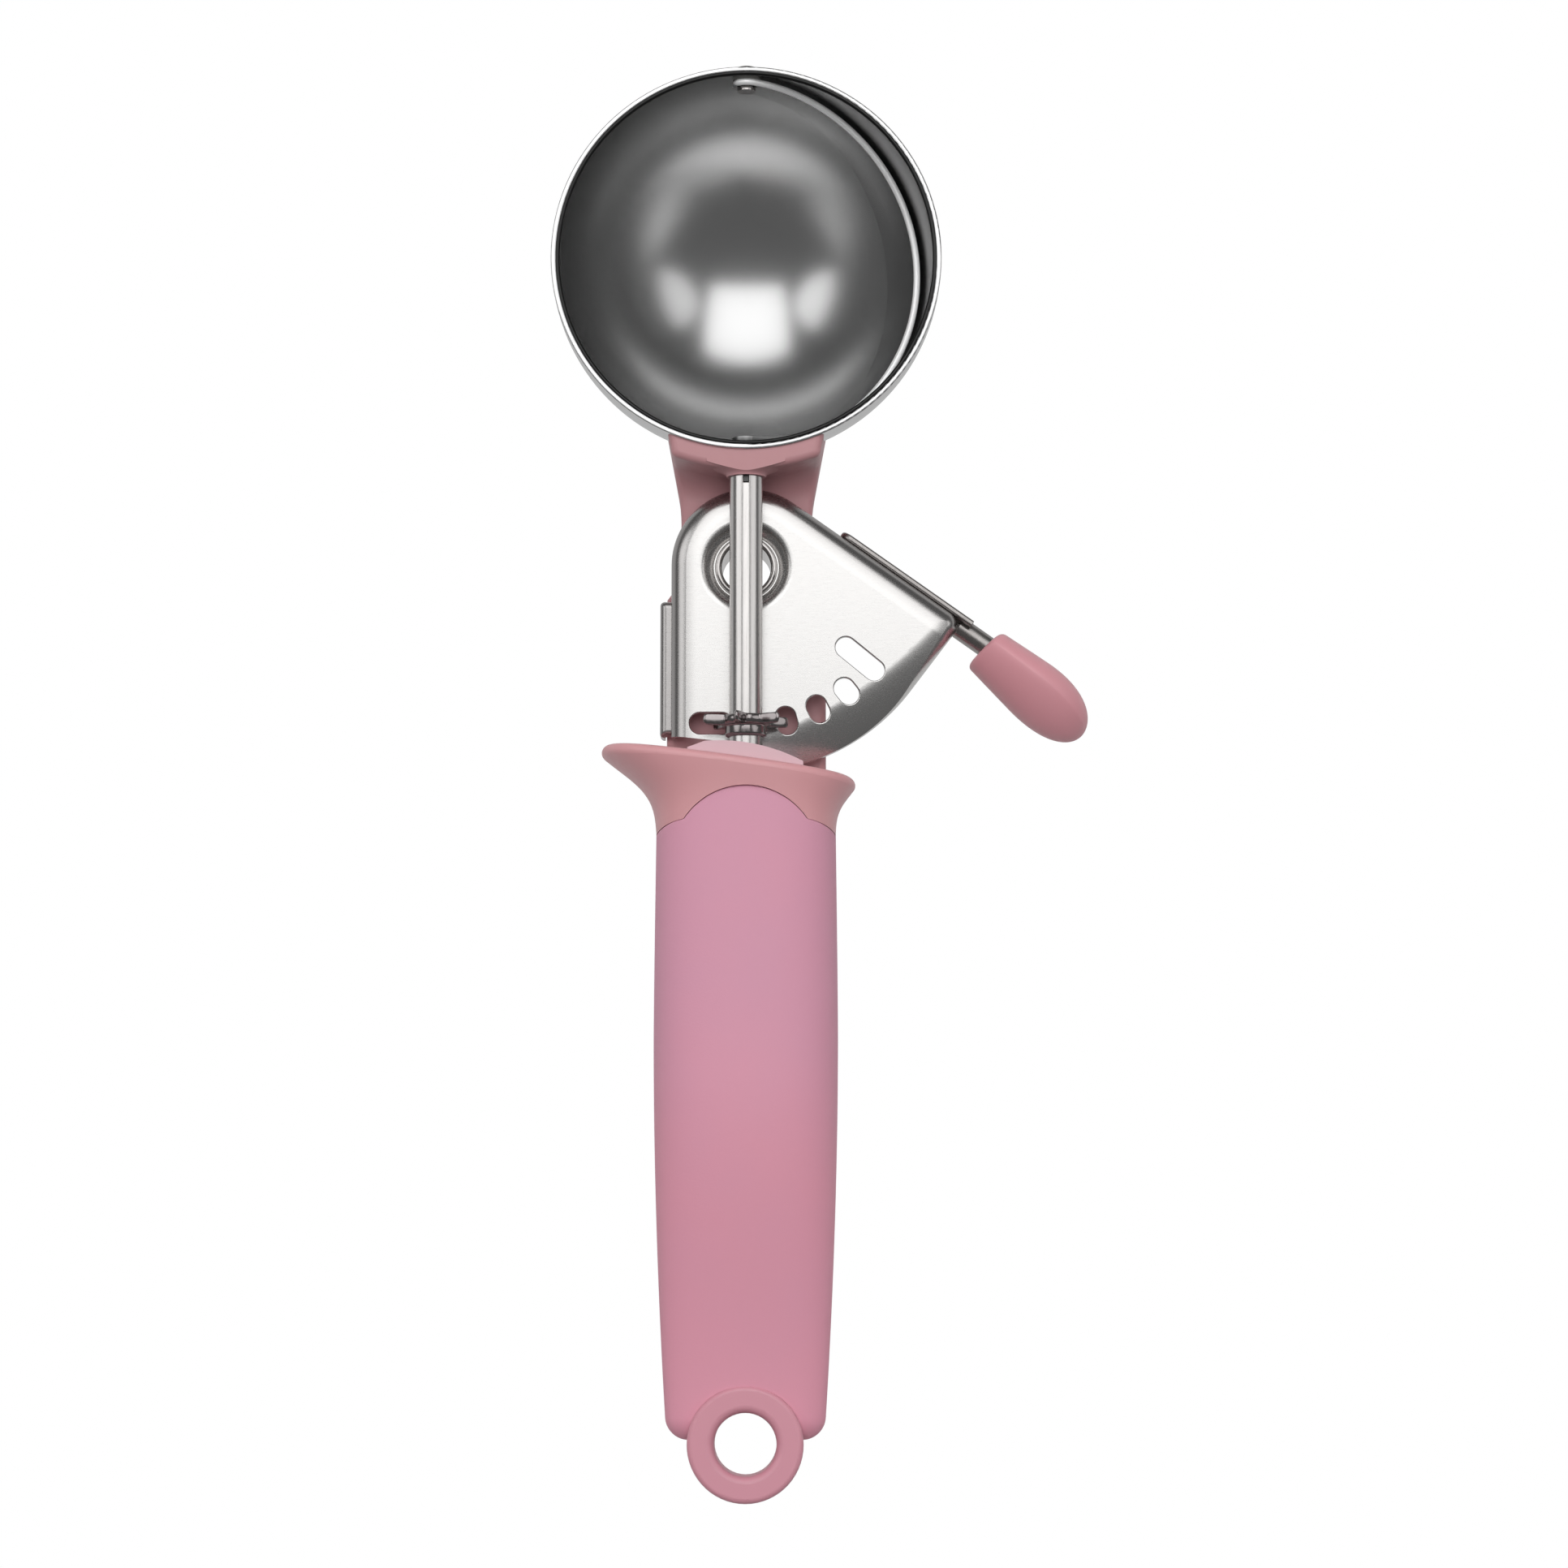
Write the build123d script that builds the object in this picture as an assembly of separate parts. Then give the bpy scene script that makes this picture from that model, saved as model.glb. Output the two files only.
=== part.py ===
from build123d import *
import math
import os

os.makedirs("parts", exist_ok=True)

# Ice cream scoop with a thumb lever, in millimetres. The origin is the centre of the hanging hole.
# +Y runs along the handle to the bowl, and +Z points out of the bowl's mouth.

# Clearances
RUNNING_GAP = 0.06
BLADE_PLAY = 0.12
SHAFT_END_GAP = 0.3
SHAFT_HOLE_GAP = 0.35
SEAT_GAP = 0.05

# Bowl
BOWL_DIAMETER = 62.0
BOWL_WALL = 0.8
RIM_RISE = 4.0

# Shaft
SHAFT_DIAMETER = 5.2
SHAFT_Z = 6.5
SHAFT_IN_BLOCK = 6.3
SHAFT_CHAMFER = 0.4
SLOT_DEPTH = 6.7
SLOT_PLAY = 0.2

# Scraper blade
BLADE_GAP = 0.7
BLADE_SHEET = 0.8
BLADE_HALF_WIDTH = 4.5
BLADE_EYE_RADIUS = 2.2
BLADE_REST_DEG = 28.0
BLADE_PIN_RADIUS = 0.6
BLADE_TANG_SIDE = 0.45
BLADE_TANG_END = 0.3

# Rivet at the far rim
FAR_RIVET_RADIUS = 0.9
FAR_RIVET_HEAD = 1.9
FAR_RIVET_HEAD_HEIGHT = 0.9
FAR_RIVET_INNER_HEAD = 1.5
FAR_RIVET_INNER_HEIGHT = 0.6

# Star wheel and the holes that it drives through
TEETH = 6
HOLE_PITCH_DEG = 12.0
HOLES_FROM_ARC = 7.1
HOLE_WIDTH = 3.3
HOLE_LENGTH = 4.45
HOLE_ROUND = 0.2
FIRST_HOLE_DEG = 2.4
DRIVEN_HOLES = 4
WHEEL_INSIDE_HOLES = 0.2
WHEEL_SHEET = 1.6
WHEEL_BEVEL = 0.25
TOOTH_PAST_PLATE = 2.2
TOOTH_ROOT_HALF = 0.9
TOOTH_TIP_HALF = 0.45
HUB_WALL = 0.7
HUB_LENGTH = 1.8
HUB_OVER_PLATE = 0.7
HUB_ROUND = 0.4
ROOT_PAST_HUB = 0.6

# Sector plate, sizes from the pivot
ARC_RADIUS = 32.7
ARC_BEHIND_BLOCK = 3.6
ARC_START_DEG = 11.0
ARC_END_DEG = 52.0
PLATE_SHEET = 0.8
PLATE_DEPTH = 3.2
PLATE_ROUND = 2.4
ARC_DRAW_WIDTH = 6.6
ARC_DRAW_DEPTH = 2.0
ARC_DRAW_RADIUS = 70.0
ARC_DRAW_DEG = 28.0
CORNER_ROUND = 2.3
HEAD_X = 0.4
HEAD_Y = 0.5
HEAD_RADIUS = 12.35
EDGE_SLOPE_DEG = 35.4
EDGE_PAST_ARC = 0.4
LEFT_CORNER_ABOVE_ARC = 5.5
FOOT_X = -2.0
FOOT_ABOVE_ARC = 4.4
DIMPLE_FLARE = 1.5
DIMPLE_DEPTH = 1.6
DIMPLE_WALL = 0.6
DIMPLE_ROUND = 2.0
LONG_SLOT_DEG = 50.5
LONG_SLOT_FROM_ARC = 6.4
LONG_SLOT_LENGTH = 5.8
REST_HOLE_LENGTH = 6.85
REST_HOLE_WIDTH = 3.4
REST_HOLE_SHIFT = 1.3
FLANGE_TOP = 5.1
FLANGE_ABOVE_CORNER = 0.2
FLANGE_DEPTH = 6.0
FLANGE_GAP = 0.25

# Eyelet and washer at the pivot
EYELET_BORE = 3.9
EYELET_WALL = 0.4
EYELET_LIP_WIDTH = 0.7
EYELET_LIP_SHEET = 0.55
EYELET_LIP_ROUND = 0.5
EYELET_LIP_GAP = 0.2
REAR_LIP_WIDTH = 1.3
WASHER_PAST_LIP = 1.4
WASHER_SHEET = 0.8

# Lever arm and thumb pad, sizes along and across the plate's straight edge
ARM_SHEET = 1.1
ARM_START = 9.0
ARM_DEPTH = 4.9
ARM_BEHIND_FRONT = 1.9
ROD_DIAMETER = 3.6
ROD_BEHIND_PLATE = 0.2
ROD_START_INSIDE = 0.1
ROD_IN_PAD = 11.3
ROD_TAPER = 2.6
ARM_OVER_ROD = 1.5
PAD_PAST_EDGE = 5.6
PAD_LENGTH = 19.9
PAD_HALF_HEIGHT = 4.9
PAD_HALF_DEPTH = 7.5
PAD_SAG = 2.3
PAD_FULLNESS = 0.6
SOCKET_GAP = 0.03
SOCKET_END_GAP = 0.2

# Frame: neck, back plate and tang
NECK_BELOW_RIM = 0.5
NECK_WALL = 3.0
NECK_WRAP = 6.2
NECK_HALF_WIDTH = 13.0
NECK_FRONT_ROUND = 1.1
NECK_ROOT_ROUND = 4.0
WAIST_HALF_WIDTH = 10.4
WAIST_DROP = 4.8
WAIST_ROUND = 26.0
HEAD_TO_NECK = 1.55
FRAME_PAST_PLATE = 0.75
FRAME_IN_GUARD = 1.5
SHOULDER_RISE = 0.6
SHOULDER_HEIGHT = 2.6
SHOULDER_STEP = 0.4
BACK_PLATE_GAP = 4.4
BACK_PLATE_SHEET = 4.5
FRAME_ROUND = 1.2
NECK_BOSS_WALL = 0.5
NECK_BOSS_FLARE = 4.0
NECK_BOSS_LENGTH = 0.9
PIVOT_BOSS_WALL = 1.1
TANG_HALF_WIDTH = 6.0
TANG_INSET = 0.6
TANG_LENGTH = 33.3
TANG_IN_PLATE = 2.0
TANG_PIN_RADIUS = 1.5
TANG_PIN_RISE = 18.0
TANG_PIN_COVER = 1.0

# Rivets between bowl and neck
BOWL_RIVET_X = 7.6
BOWL_RIVET_DROP = 6.5
BOWL_RIVET_RADIUS = 1.3
BOWL_RIVET_HEAD = 2.4
BOWL_RIVET_HEAD_HEIGHT = 0.4
BOWL_RIVET_COVER = 0.8

# Return spring
WIRE = 0.85
COIL_PAST_DIMPLE = 0.575
COIL_TURNS = 2
COIL_END_GAP = 0.2
PUSH_LEG_GAP = 1.3
PUSH_LEG_TURN_DEG = 16.0
ANCHOR_LEG = 12.0
ANCHOR_POST_RADIUS = 1.0
ANCHOR_POST_HEIGHT = 2.2
ANCHOR_POST_RISE = 2.5

# Handle
GRIP_HALF_WIDTH = 14.5
GRIP_HALF_DEPTH = 12.0
HANDLE_FULLNESS = 0.73
SLEEVE_SIDE_WALL = 4.5
SLEEVE_FRONT_WALL = 3.0
GUARD_LOW_Y = 95.3
GUARD_WAIST = 0.3
GUARD_LEFT = 24.9
GUARD_RIGHT = 18.0
GUARD_LEFT_RISE = 14.3
GUARD_RIGHT_RISE = 8.5
GUARD_DEPTH_FLARE = 1.6
GUARD_ROUND = 1.0
GRIP_END_ROUND = 2.2
SCALLOP_RISE = 7.0
SCALLOP_DROP = 0.5
SCALLOP_SHOULDER = 1.9
SCALLOP_SHOULDER_X = 9.7
HANG_HOLE_RADIUS = 4.85
HANG_HOLE_ROUND = 1.2
RING_WALL = 4.2
RING_DEPTH = 10.4
RING_ROUND = 0.8

# Bearing block
BLOCK_LEFT = 9.1
BLOCK_RIGHT = 9.0
BLOCK_RISE = 13.6
BLOCK_WALL = 1.6
BLOCK_BELOW_SHAFT = 1.2
BLOCK_OVER_PLATE = 0.4
BLOCK_PEAK_X = -6.4
BLOCK_LEFT_DROP = 1.0
BLOCK_RIGHT_DROP = 3.2
BLOCK_CROWN_X = 2.0
BLOCK_CROWN_DROP = 0.6
BLOCK_ROUND = 1.8
POCKET_GAP = 0.5
POCKET_BEHIND_PLATE = 0.6

# Sizes that follow from the ones above
BOWL_RADIUS = BOWL_DIAMETER / 2
SHAFT_RADIUS = SHAFT_DIAMETER / 2
HUB_RADIUS = SHAFT_RADIUS + HUB_WALL
TOOTH_ROOT = HUB_RADIUS + ROOT_PAST_HUB
PLATE_BELOW_SHAFT = HUB_RADIUS + HUB_OVER_PLATE
TOOTH_TIP = PLATE_BELOW_SHAFT + PLATE_SHEET + TOOTH_PAST_PLATE
RATIO = 360 / TEETH / HOLE_PITCH_DEG
RIM_Z = SHAFT_Z + RIM_RISE
PLATE_FRONT = SHAFT_Z - PLATE_BELOW_SHAFT
PLATE_BACK = PLATE_FRONT - PLATE_SHEET
PLATE_REAR_EDGE = PLATE_FRONT - PLATE_DEPTH
FRAME_FRONT = PLATE_BACK - BACK_PLATE_GAP
FRAME_BACK = FRAME_FRONT - BACK_PLATE_SHEET
NECK_TOP = RIM_Z - NECK_BELOW_RIM

# Places along the handle, from the guard up to the bowl
BLOCK_TOP_Y = GUARD_LOW_Y + BLOCK_RISE
SHAFT_LOW_Y = BLOCK_TOP_Y - SHAFT_IN_BLOCK
PIVOT_Y = BLOCK_TOP_Y - ARC_BEHIND_BLOCK + ARC_RADIUS
HOLE_CIRCLE = ARC_RADIUS - HOLES_FROM_ARC
WHEEL_Y = PIVOT_Y - HOLE_CIRCLE + WHEEL_INSIDE_HOLES
NECK_Y = PIVOT_Y + HEAD_Y + HEAD_RADIUS + HEAD_TO_NECK
BOWL_Y = NECK_Y + NECK_WALL + BOWL_RADIUS
BLADE_RADIUS = BOWL_RADIUS - BOWL_WALL - BLADE_GAP
SHAFT_TOP_Y = BOWL_Y - BOWL_RADIUS + BOWL_WALL
GUARD_RIGHT_Y = GUARD_LOW_Y + GUARD_RIGHT_RISE
TANG_LOW_Y = GUARD_LOW_Y - TANG_LENGTH
TANG_PIN_Y = TANG_LOW_Y + TANG_PIN_RISE

# Sizes round the pivot, from the eyelet outwards
EYELET_RADIUS = EYELET_BORE + EYELET_WALL
EYELET_LIP = EYELET_RADIUS + EYELET_LIP_WIDTH
REAR_LIP = EYELET_RADIUS + REAR_LIP_WIDTH
WASHER_RADIUS = REAR_LIP + WASHER_PAST_LIP
DIMPLE_FLOOR = EYELET_LIP + EYELET_LIP_GAP
DIMPLE_RADIUS = DIMPLE_FLOOR + DIMPLE_FLARE
DIMPLE_BACK = PLATE_FRONT - DIMPLE_DEPTH - PLATE_SHEET
PIVOT_BOSS_RADIUS = EYELET_RADIUS + PIVOT_BOSS_WALL
COIL_RADIUS = DIMPLE_RADIUS + WIRE / 2 + COIL_PAST_DIMPLE

# Sizes along the plate's edge and across the handle
EDGE_LENGTH = ARC_RADIUS + EDGE_PAST_ARC
ROD_RADIUS = ROD_DIAMETER / 2
ROD_START = EDGE_LENGTH - ROD_START_INSIDE
PAD_START = EDGE_LENGTH + PAD_PAST_EDGE
ROD_END = PAD_START + ROD_IN_PAD
ROD_DROP = PLATE_DEPTH + ROD_RADIUS + ROD_BEHIND_PLATE
FRAME_HALF_WIDTH = HEAD_RADIUS - HEAD_X + FRAME_PAST_PLATE
CORE_HALF_WIDTH = GRIP_HALF_WIDTH - SLEEVE_SIDE_WALL
CORE_HALF_DEPTH = GRIP_HALF_DEPTH - SLEEVE_FRONT_WALL
RING_RADIUS = HANG_HOLE_RADIUS + RING_WALL

# How blocks stand on their seat, and a reach past every piece for through cuts
BASE = (Align.CENTER, Align.CENTER, Align.MIN)
THROUGH = 2 * BOWL_DIAMETER


def rod(radius, y0, y1, x=0.0, z=0.0):
    """Round bar along Y."""
    return Pos(x, y0, z) * Rot(-90, 0, 0) * Cylinder(radius, y1 - y0, align=BASE)


def post(radius, x, y, z0, z1):
    """Round bar along Z."""
    return Pos(x, y, z0) * Cylinder(radius, z1 - z0, align=BASE)


def block(x0, x1, y0, y1, z0, z1):
    """Box between two corners."""
    middle = Pos((x0 + x1) / 2, (y0 + y1) / 2, (z0 + z1) / 2)
    return middle * Box(x1 - x0, y1 - y0, z1 - z0)


def outline(points):
    """Flat face with straight sides through the points."""
    return make_face(Polyline(*points, close=True).edges())


def round_corner(face, point, radius):
    """Round the corner of a flat face that is nearest to the point."""
    corner = face.vertices().sort_by_distance((*point, 0))[0]
    return fillet(corner, radius)


def half_ball(radius, top):
    """Body of the bowl's form: half a ball below the shaft's axis and a straight wall above it."""
    slant = radius * math.sqrt(0.5)
    profile = make_face(
        [
            ThreePointArc((0, -radius), (slant, -slant), (radius, 0)),
            Line((radius, 0), (radius, top)),
            Line((radius, top), (0, top)),
            Line((0, top), (0, -radius)),
        ]
    )
    return Pos(0, BOWL_Y, SHAFT_Z) * revolve(Plane.XZ * profile, Axis.Z)


def oval(half_x, half_y, fullness):
    """Closed oval of four curves, an ellipse at a fullness of 0.55 and squarer above it."""
    corners = [(1, 0), (0, 1), (-1, 0), (0, -1)]
    curves = []
    for (ax, ay), (bx, by) in zip(corners, corners[1:] + corners[:1]):
        curves.append(
            Bezier(
                (half_x * ax, half_y * ay),
                (half_x * (ax + bx * fullness), half_y * (ay + by * fullness)),
                (half_x * (bx + ax * fullness), half_y * (by + ay * fullness)),
                (half_x * bx, half_y * by),
            )
        )
    return make_face(curves)


def cross_section(x_left, y_left, x_right, y_right, half_z):
    """Oval across the handle whose ends are at two points in the X-Y plane."""
    middle = Vector((x_left + x_right) / 2, (y_left + y_right) / 2, 0)
    along = Vector(x_right - x_left, y_right - y_left, 0)
    plane = Plane(origin=middle, x_dir=along, z_dir=Vector(along.Y, -along.X, 0))
    return plane * oval(along.length / 2, half_z, HANDLE_FULLNESS)


# Bowl with its rounded rim
bowl = half_ball(BOWL_RADIUS, RIM_RISE) - half_ball(BOWL_RADIUS - BOWL_WALL, RIM_RISE + BOWL_WALL)
bowl = fillet(bowl.edges().group_by(Axis.Z)[-1], BOWL_WALL * 0.3)

# Rivets that hold the bowl on the neck, along lines through the bowl's centre
bowl_centre = Vector(0, BOWL_Y, SHAFT_Z)
rivet_solids = []
rivet_holes = []
reach = math.sqrt(BOWL_RADIUS**2 - BOWL_RIVET_X**2 - BOWL_RIVET_DROP**2)
neck_there = (BOWL_RADIUS + NECK_WALL) * BOWL_RADIUS / math.hypot(reach, BOWL_RIVET_X) - BOWL_RADIUS
shank_length = BOWL_RIVET_HEAD_HEIGHT + BOWL_WALL + neck_there - BOWL_RIVET_COVER
for side in (-1, 1):
    outward = Vector(side * BOWL_RIVET_X, -reach, -BOWL_RIVET_DROP).normalized()
    inner = BOWL_RADIUS - BOWL_WALL
    seat = Plane(origin=bowl_centre + outward * (inner - BOWL_RIVET_HEAD_HEIGHT), z_dir=outward)
    shank = seat * Cylinder(BOWL_RIVET_RADIUS, shank_length, align=BASE)
    head = seat * Cylinder(BOWL_RIVET_HEAD, BOWL_WALL, align=BASE)
    head = head & half_ball(inner, RIM_RISE)
    rivet_solids.append(shank + head)
    rivet_holes.append(shank)
bowl = bowl - rivet_holes[0] - rivet_holes[1]
bowl = bowl - rod(SHAFT_RADIUS + SHAFT_HOLE_GAP, NECK_Y, BOWL_Y, z=SHAFT_Z)
bowl = bowl - rod(FAR_RIVET_RADIUS, BOWL_Y, BOWL_Y + BOWL_DIAMETER, z=SHAFT_Z)
bowl_rivets = Compound(children=[solid for rivet in rivet_solids for solid in rivet.solids()])

# Scraper blade: a strip bent to half a circle, with an eye at the far end and a tang at the near end
half = BLADE_HALF_WIDTH
eye = BLADE_EYE_RADIUS
strip_outline = make_face(
    [
        ThreePointArc((-BLADE_RADIUS, eye), (0, half), (BLADE_RADIUS, eye)),
        Line((BLADE_RADIUS, eye), (BLADE_RADIUS, -eye)),
        ThreePointArc((BLADE_RADIUS, -eye), (0, -half), (-BLADE_RADIUS, -eye)),
        Line((-BLADE_RADIUS, -eye), (-BLADE_RADIUS, eye)),
    ]
)
strip = Sphere(BLADE_RADIUS) - Sphere(BLADE_RADIUS - BLADE_SHEET)
strip = strip & extrude(Plane.YZ.offset(-eye) * strip_outline, BLADE_RADIUS + eye)
open_side = block(0, THROUGH, -THROUGH, THROUGH, -THROUGH, THROUGH)
strip = strip & (rod(eye, -BLADE_RADIUS, BLADE_RADIUS) + open_side)
strip = strip - rod(FAR_RIVET_RADIUS + RUNNING_GAP, 0, BOWL_DIAMETER)
tang_low = -BLADE_RADIUS - SLOT_DEPTH + BLADE_TANG_END
tang_top = -BLADE_RADIUS + BLADE_SHEET / 2
tang_half = SHAFT_RADIUS - BLADE_TANG_SIDE
sheet_half = BLADE_SHEET / 2
blade_tang = block(-sheet_half, sheet_half, tang_low, tang_top, -tang_half, tang_half)
pin_y = -BLADE_RADIUS - SLOT_DEPTH / 2
pin_hole = Pos(0, pin_y, 0) * Rot(0, 90, 0) * Cylinder(BLADE_PIN_RADIUS, SHAFT_DIAMETER * 2)
blade_tang = blade_tang - pin_hole
at_bowl = Pos(0, BOWL_Y, SHAFT_Z)
scraper_blade = at_bowl * (Rot(0, BLADE_REST_DEG, 0) * strip + blade_tang)

# Shaft with its slotted end, and the pin through slot and tang
shaft = rod(SHAFT_RADIUS, SHAFT_LOW_Y, SHAFT_TOP_Y, z=SHAFT_Z)
shaft = chamfer(shaft.edges().filter_by(GeomType.CIRCLE).group_by(Axis.Y)[0], SHAFT_CHAMFER)
slot_half = sheet_half + SLOT_PLAY / 2
slot = block(-slot_half, slot_half, -BLADE_RADIUS - SLOT_DEPTH, 0, -SHAFT_DIAMETER, SHAFT_DIAMETER)
shaft = shaft - at_bowl * slot
shaft = shaft - at_bowl * pin_hole
blade_pin = at_bowl * (pin_hole & rod(SHAFT_RADIUS - SEAT_GAP, -BOWL_DIAMETER, 0))

# Rivet at the far rim with the washer that keeps the blade off the wall
wall_inside = BOWL_Y + BOWL_RADIUS - BOWL_WALL
blade_inside = BOWL_Y + BLADE_RADIUS - BLADE_SHEET
wall_outside = BOWL_Y + BOWL_RADIUS
inner_head_y = blade_inside - BLADE_PLAY
rivet_inner_y = inner_head_y - FAR_RIVET_INNER_HEIGHT
blade_pivot_rivet = rod(FAR_RIVET_RADIUS, rivet_inner_y, wall_outside + SEAT_GAP, z=SHAFT_Z)
blade_pivot_rivet += rod(FAR_RIVET_INNER_HEAD, rivet_inner_y, inner_head_y, z=SHAFT_Z)
outer_head = rod(FAR_RIVET_HEAD, wall_inside, wall_outside + FAR_RIVET_HEAD_HEIGHT, z=SHAFT_Z)
outer_head = fillet(outer_head.edges().group_by(Axis.Y)[-1], FAR_RIVET_HEAD_HEIGHT * 0.7)
outer_head = outer_head - half_ball(BOWL_RADIUS, RIM_RISE)
blade_pivot_rivet += outer_head
washer_ring = rod(BLADE_EYE_RADIUS, BOWL_Y + BLADE_RADIUS + BLADE_PLAY, wall_outside, z=SHAFT_Z)
washer_ring = washer_ring & half_ball(BOWL_RADIUS - BOWL_WALL, RIM_RISE)
blade_pivot_washer = washer_ring - rod(FAR_RIVET_RADIUS, BOWL_Y, wall_outside, z=SHAFT_Z)

# Star wheel with its hub
tip_start = TOOTH_TIP - TOOTH_TIP_HALF
tooth = make_face(
    [
        Line((0, -TOOTH_ROOT_HALF), (TOOTH_ROOT, -TOOTH_ROOT_HALF)),
        Line((TOOTH_ROOT, -TOOTH_ROOT_HALF), (tip_start, -TOOTH_TIP_HALF)),
        ThreePointArc((tip_start, -TOOTH_TIP_HALF), (TOOTH_TIP, 0), (tip_start, TOOTH_TIP_HALF)),
        Line((tip_start, TOOTH_TIP_HALF), (TOOTH_ROOT, TOOTH_ROOT_HALF)),
        Line((TOOTH_ROOT, TOOTH_ROOT_HALF), (0, TOOTH_ROOT_HALF)),
        Line((0, TOOTH_ROOT_HALF), (0, -TOOTH_ROOT_HALF)),
    ]
)
star = Circle(TOOTH_ROOT)
for number in range(TEETH):
    turn = 90 - FIRST_HOLE_DEG * RATIO - number * 360 / TEETH
    star = star + Rot(0, 0, turn) * tooth
wheel_low = WHEEL_Y - WHEEL_SHEET / 2
wheel = extrude(star, WHEEL_SHEET)
wheel = chamfer(wheel.edges().group_by(Axis.Z)[0] + wheel.edges().group_by(Axis.Z)[-1], WHEEL_BEVEL)
pinion = Pos(0, wheel_low, SHAFT_Z) * Rot(-90, 0, 0) * wheel
hub = rod(HUB_RADIUS, wheel_low - HUB_LENGTH, wheel_low, z=SHAFT_Z)
hub = fillet(hub.edges().group_by(Axis.Y)[0], HUB_ROUND)
pinion = pinion + hub - rod(SHAFT_RADIUS, 0, BOWL_Y, z=SHAFT_Z)

# Sector plate: outline from the pivot
slope = math.radians(EDGE_SLOPE_DEG)
edge_way = (math.cos(slope), -math.sin(slope))
edge_out = (math.sin(slope), math.cos(slope))
head_end = (HEAD_X + HEAD_RADIUS * edge_out[0], HEAD_Y + HEAD_RADIUS * edge_out[1])
edge_offset = head_end[0] * edge_out[0] + head_end[1] * edge_out[1]
head_along = head_end[0] * edge_way[0] + head_end[1] * edge_way[1]
corner_run = EDGE_LENGTH - head_along
corner = (head_end[0] + edge_way[0] * corner_run, head_end[1] + edge_way[1] * corner_run)
left_x = HEAD_X - HEAD_RADIUS
left_low = (left_x, LEFT_CORNER_ABOVE_ARC - ARC_RADIUS)
foot = (FOOT_X, FOOT_ABOVE_ARC - ARC_RADIUS)
blank_low = -ARC_RADIUS


def on_arc(radius, degrees):
    """Point at a radius from the pivot, the angle counted from straight down towards +X."""
    angle = math.radians(degrees)
    return (radius * math.sin(angle), -radius * math.cos(angle))


arc_start = on_arc(ARC_RADIUS, ARC_START_DEG)
arc_end = on_arc(ARC_RADIUS, ARC_END_DEG)
head_top = (HEAD_X - HEAD_RADIUS * 0.5, HEAD_Y + HEAD_RADIUS * math.sqrt(0.75))
plate_outline = make_face(
    [
        Line((left_x, HEAD_Y), (left_x, blank_low)),
        Line((left_x, blank_low), (0, blank_low)),
        ThreePointArc((0, blank_low), on_arc(ARC_RADIUS, ARC_END_DEG / 2), arc_end),
        Line(arc_end, corner),
        Line(corner, head_end),
        ThreePointArc(head_end, head_top, (left_x, HEAD_Y)),
    ]
)
plate_outline = round_corner(plate_outline, corner, CORNER_ROUND)
draw_middle = on_arc(ARC_RADIUS - ARC_DRAW_RADIUS, ARC_DRAW_DEG)
draw_start = ARC_DRAW_RADIUS - ARC_DRAW_WIDTH
draw_profile = make_face(
    [
        Bezier(
            (draw_start, 0),
            (draw_start + ARC_DRAW_WIDTH * 0.3, 0),
            (ARC_DRAW_RADIUS - ARC_DRAW_WIDTH * 0.12, -ARC_DRAW_DEPTH * 0.62),
            (ARC_DRAW_RADIUS, -ARC_DRAW_DEPTH),
        ),
        Line((ARC_DRAW_RADIUS, -ARC_DRAW_DEPTH), (ARC_DRAW_RADIUS * 2, -ARC_DRAW_DEPTH)),
        Line((ARC_DRAW_RADIUS * 2, -ARC_DRAW_DEPTH), (ARC_DRAW_RADIUS * 2, PLATE_DEPTH)),
        Line((ARC_DRAW_RADIUS * 2, PLATE_DEPTH), (draw_start, PLATE_DEPTH)),
        Line((draw_start, PLATE_DEPTH), (draw_start, 0)),
    ]
)
arc_draw = Pos(*draw_middle) * revolve(Plane.XZ * draw_profile, Axis.Z)


def drawn(face, radius):
    """Solid behind a flat outline, its front edge rounded and drawn down further along the arc."""
    solid = extrude(face, -PLATE_DEPTH)
    return fillet(solid.faces().sort_by(Axis.Z)[-1].edges(), radius) - arc_draw


plate = drawn(plate_outline, PLATE_ROUND)
hollow = drawn(offset(plate_outline, -PLATE_SHEET), PLATE_ROUND - PLATE_SHEET)
plate = plate - Pos(0, 0, -PLATE_SHEET) * hollow
cut_low = -2 * ARC_RADIUS
cut_left = (2 * left_x, left_low[1])
below_plate = outline([cut_left, left_low, foot, arc_start, (arc_start[0], cut_low), (2 * left_x, cut_low)])
plate = plate - extrude(below_plate, THROUGH, both=True)
dimple_height = DIMPLE_DEPTH + PLATE_SHEET
cup = Cone(DIMPLE_FLOOR + DIMPLE_WALL, DIMPLE_RADIUS + DIMPLE_WALL, dimple_height, align=BASE)
plate = plate + Pos(0, 0, -dimple_height) * cup
dish = Cone(DIMPLE_FLOOR, DIMPLE_RADIUS, DIMPLE_DEPTH, align=BASE)
plate = plate - Pos(0, 0, -DIMPLE_DEPTH) * dish
dish_rim = plate.edges().filter_by(GeomType.CIRCLE)
dish_rim = dish_rim.filter_by(lambda edge: abs(edge.radius - DIMPLE_RADIUS) < 0.01)
plate = fillet(dish_rim, DIMPLE_ROUND)
plate = plate - Cylinder(EYELET_RADIUS + RUNNING_GAP, THROUGH)


def radial_slot(inner, outer, width, degrees):
    """Through cut with round ends between two radii."""
    x, y = on_arc((inner + outer) / 2, degrees)
    face = Pos(x, y) * Rot(0, 0, degrees - 90) * SlotCenterToCenter(outer - inner, width)
    return extrude(face, THROUGH, both=True)


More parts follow.
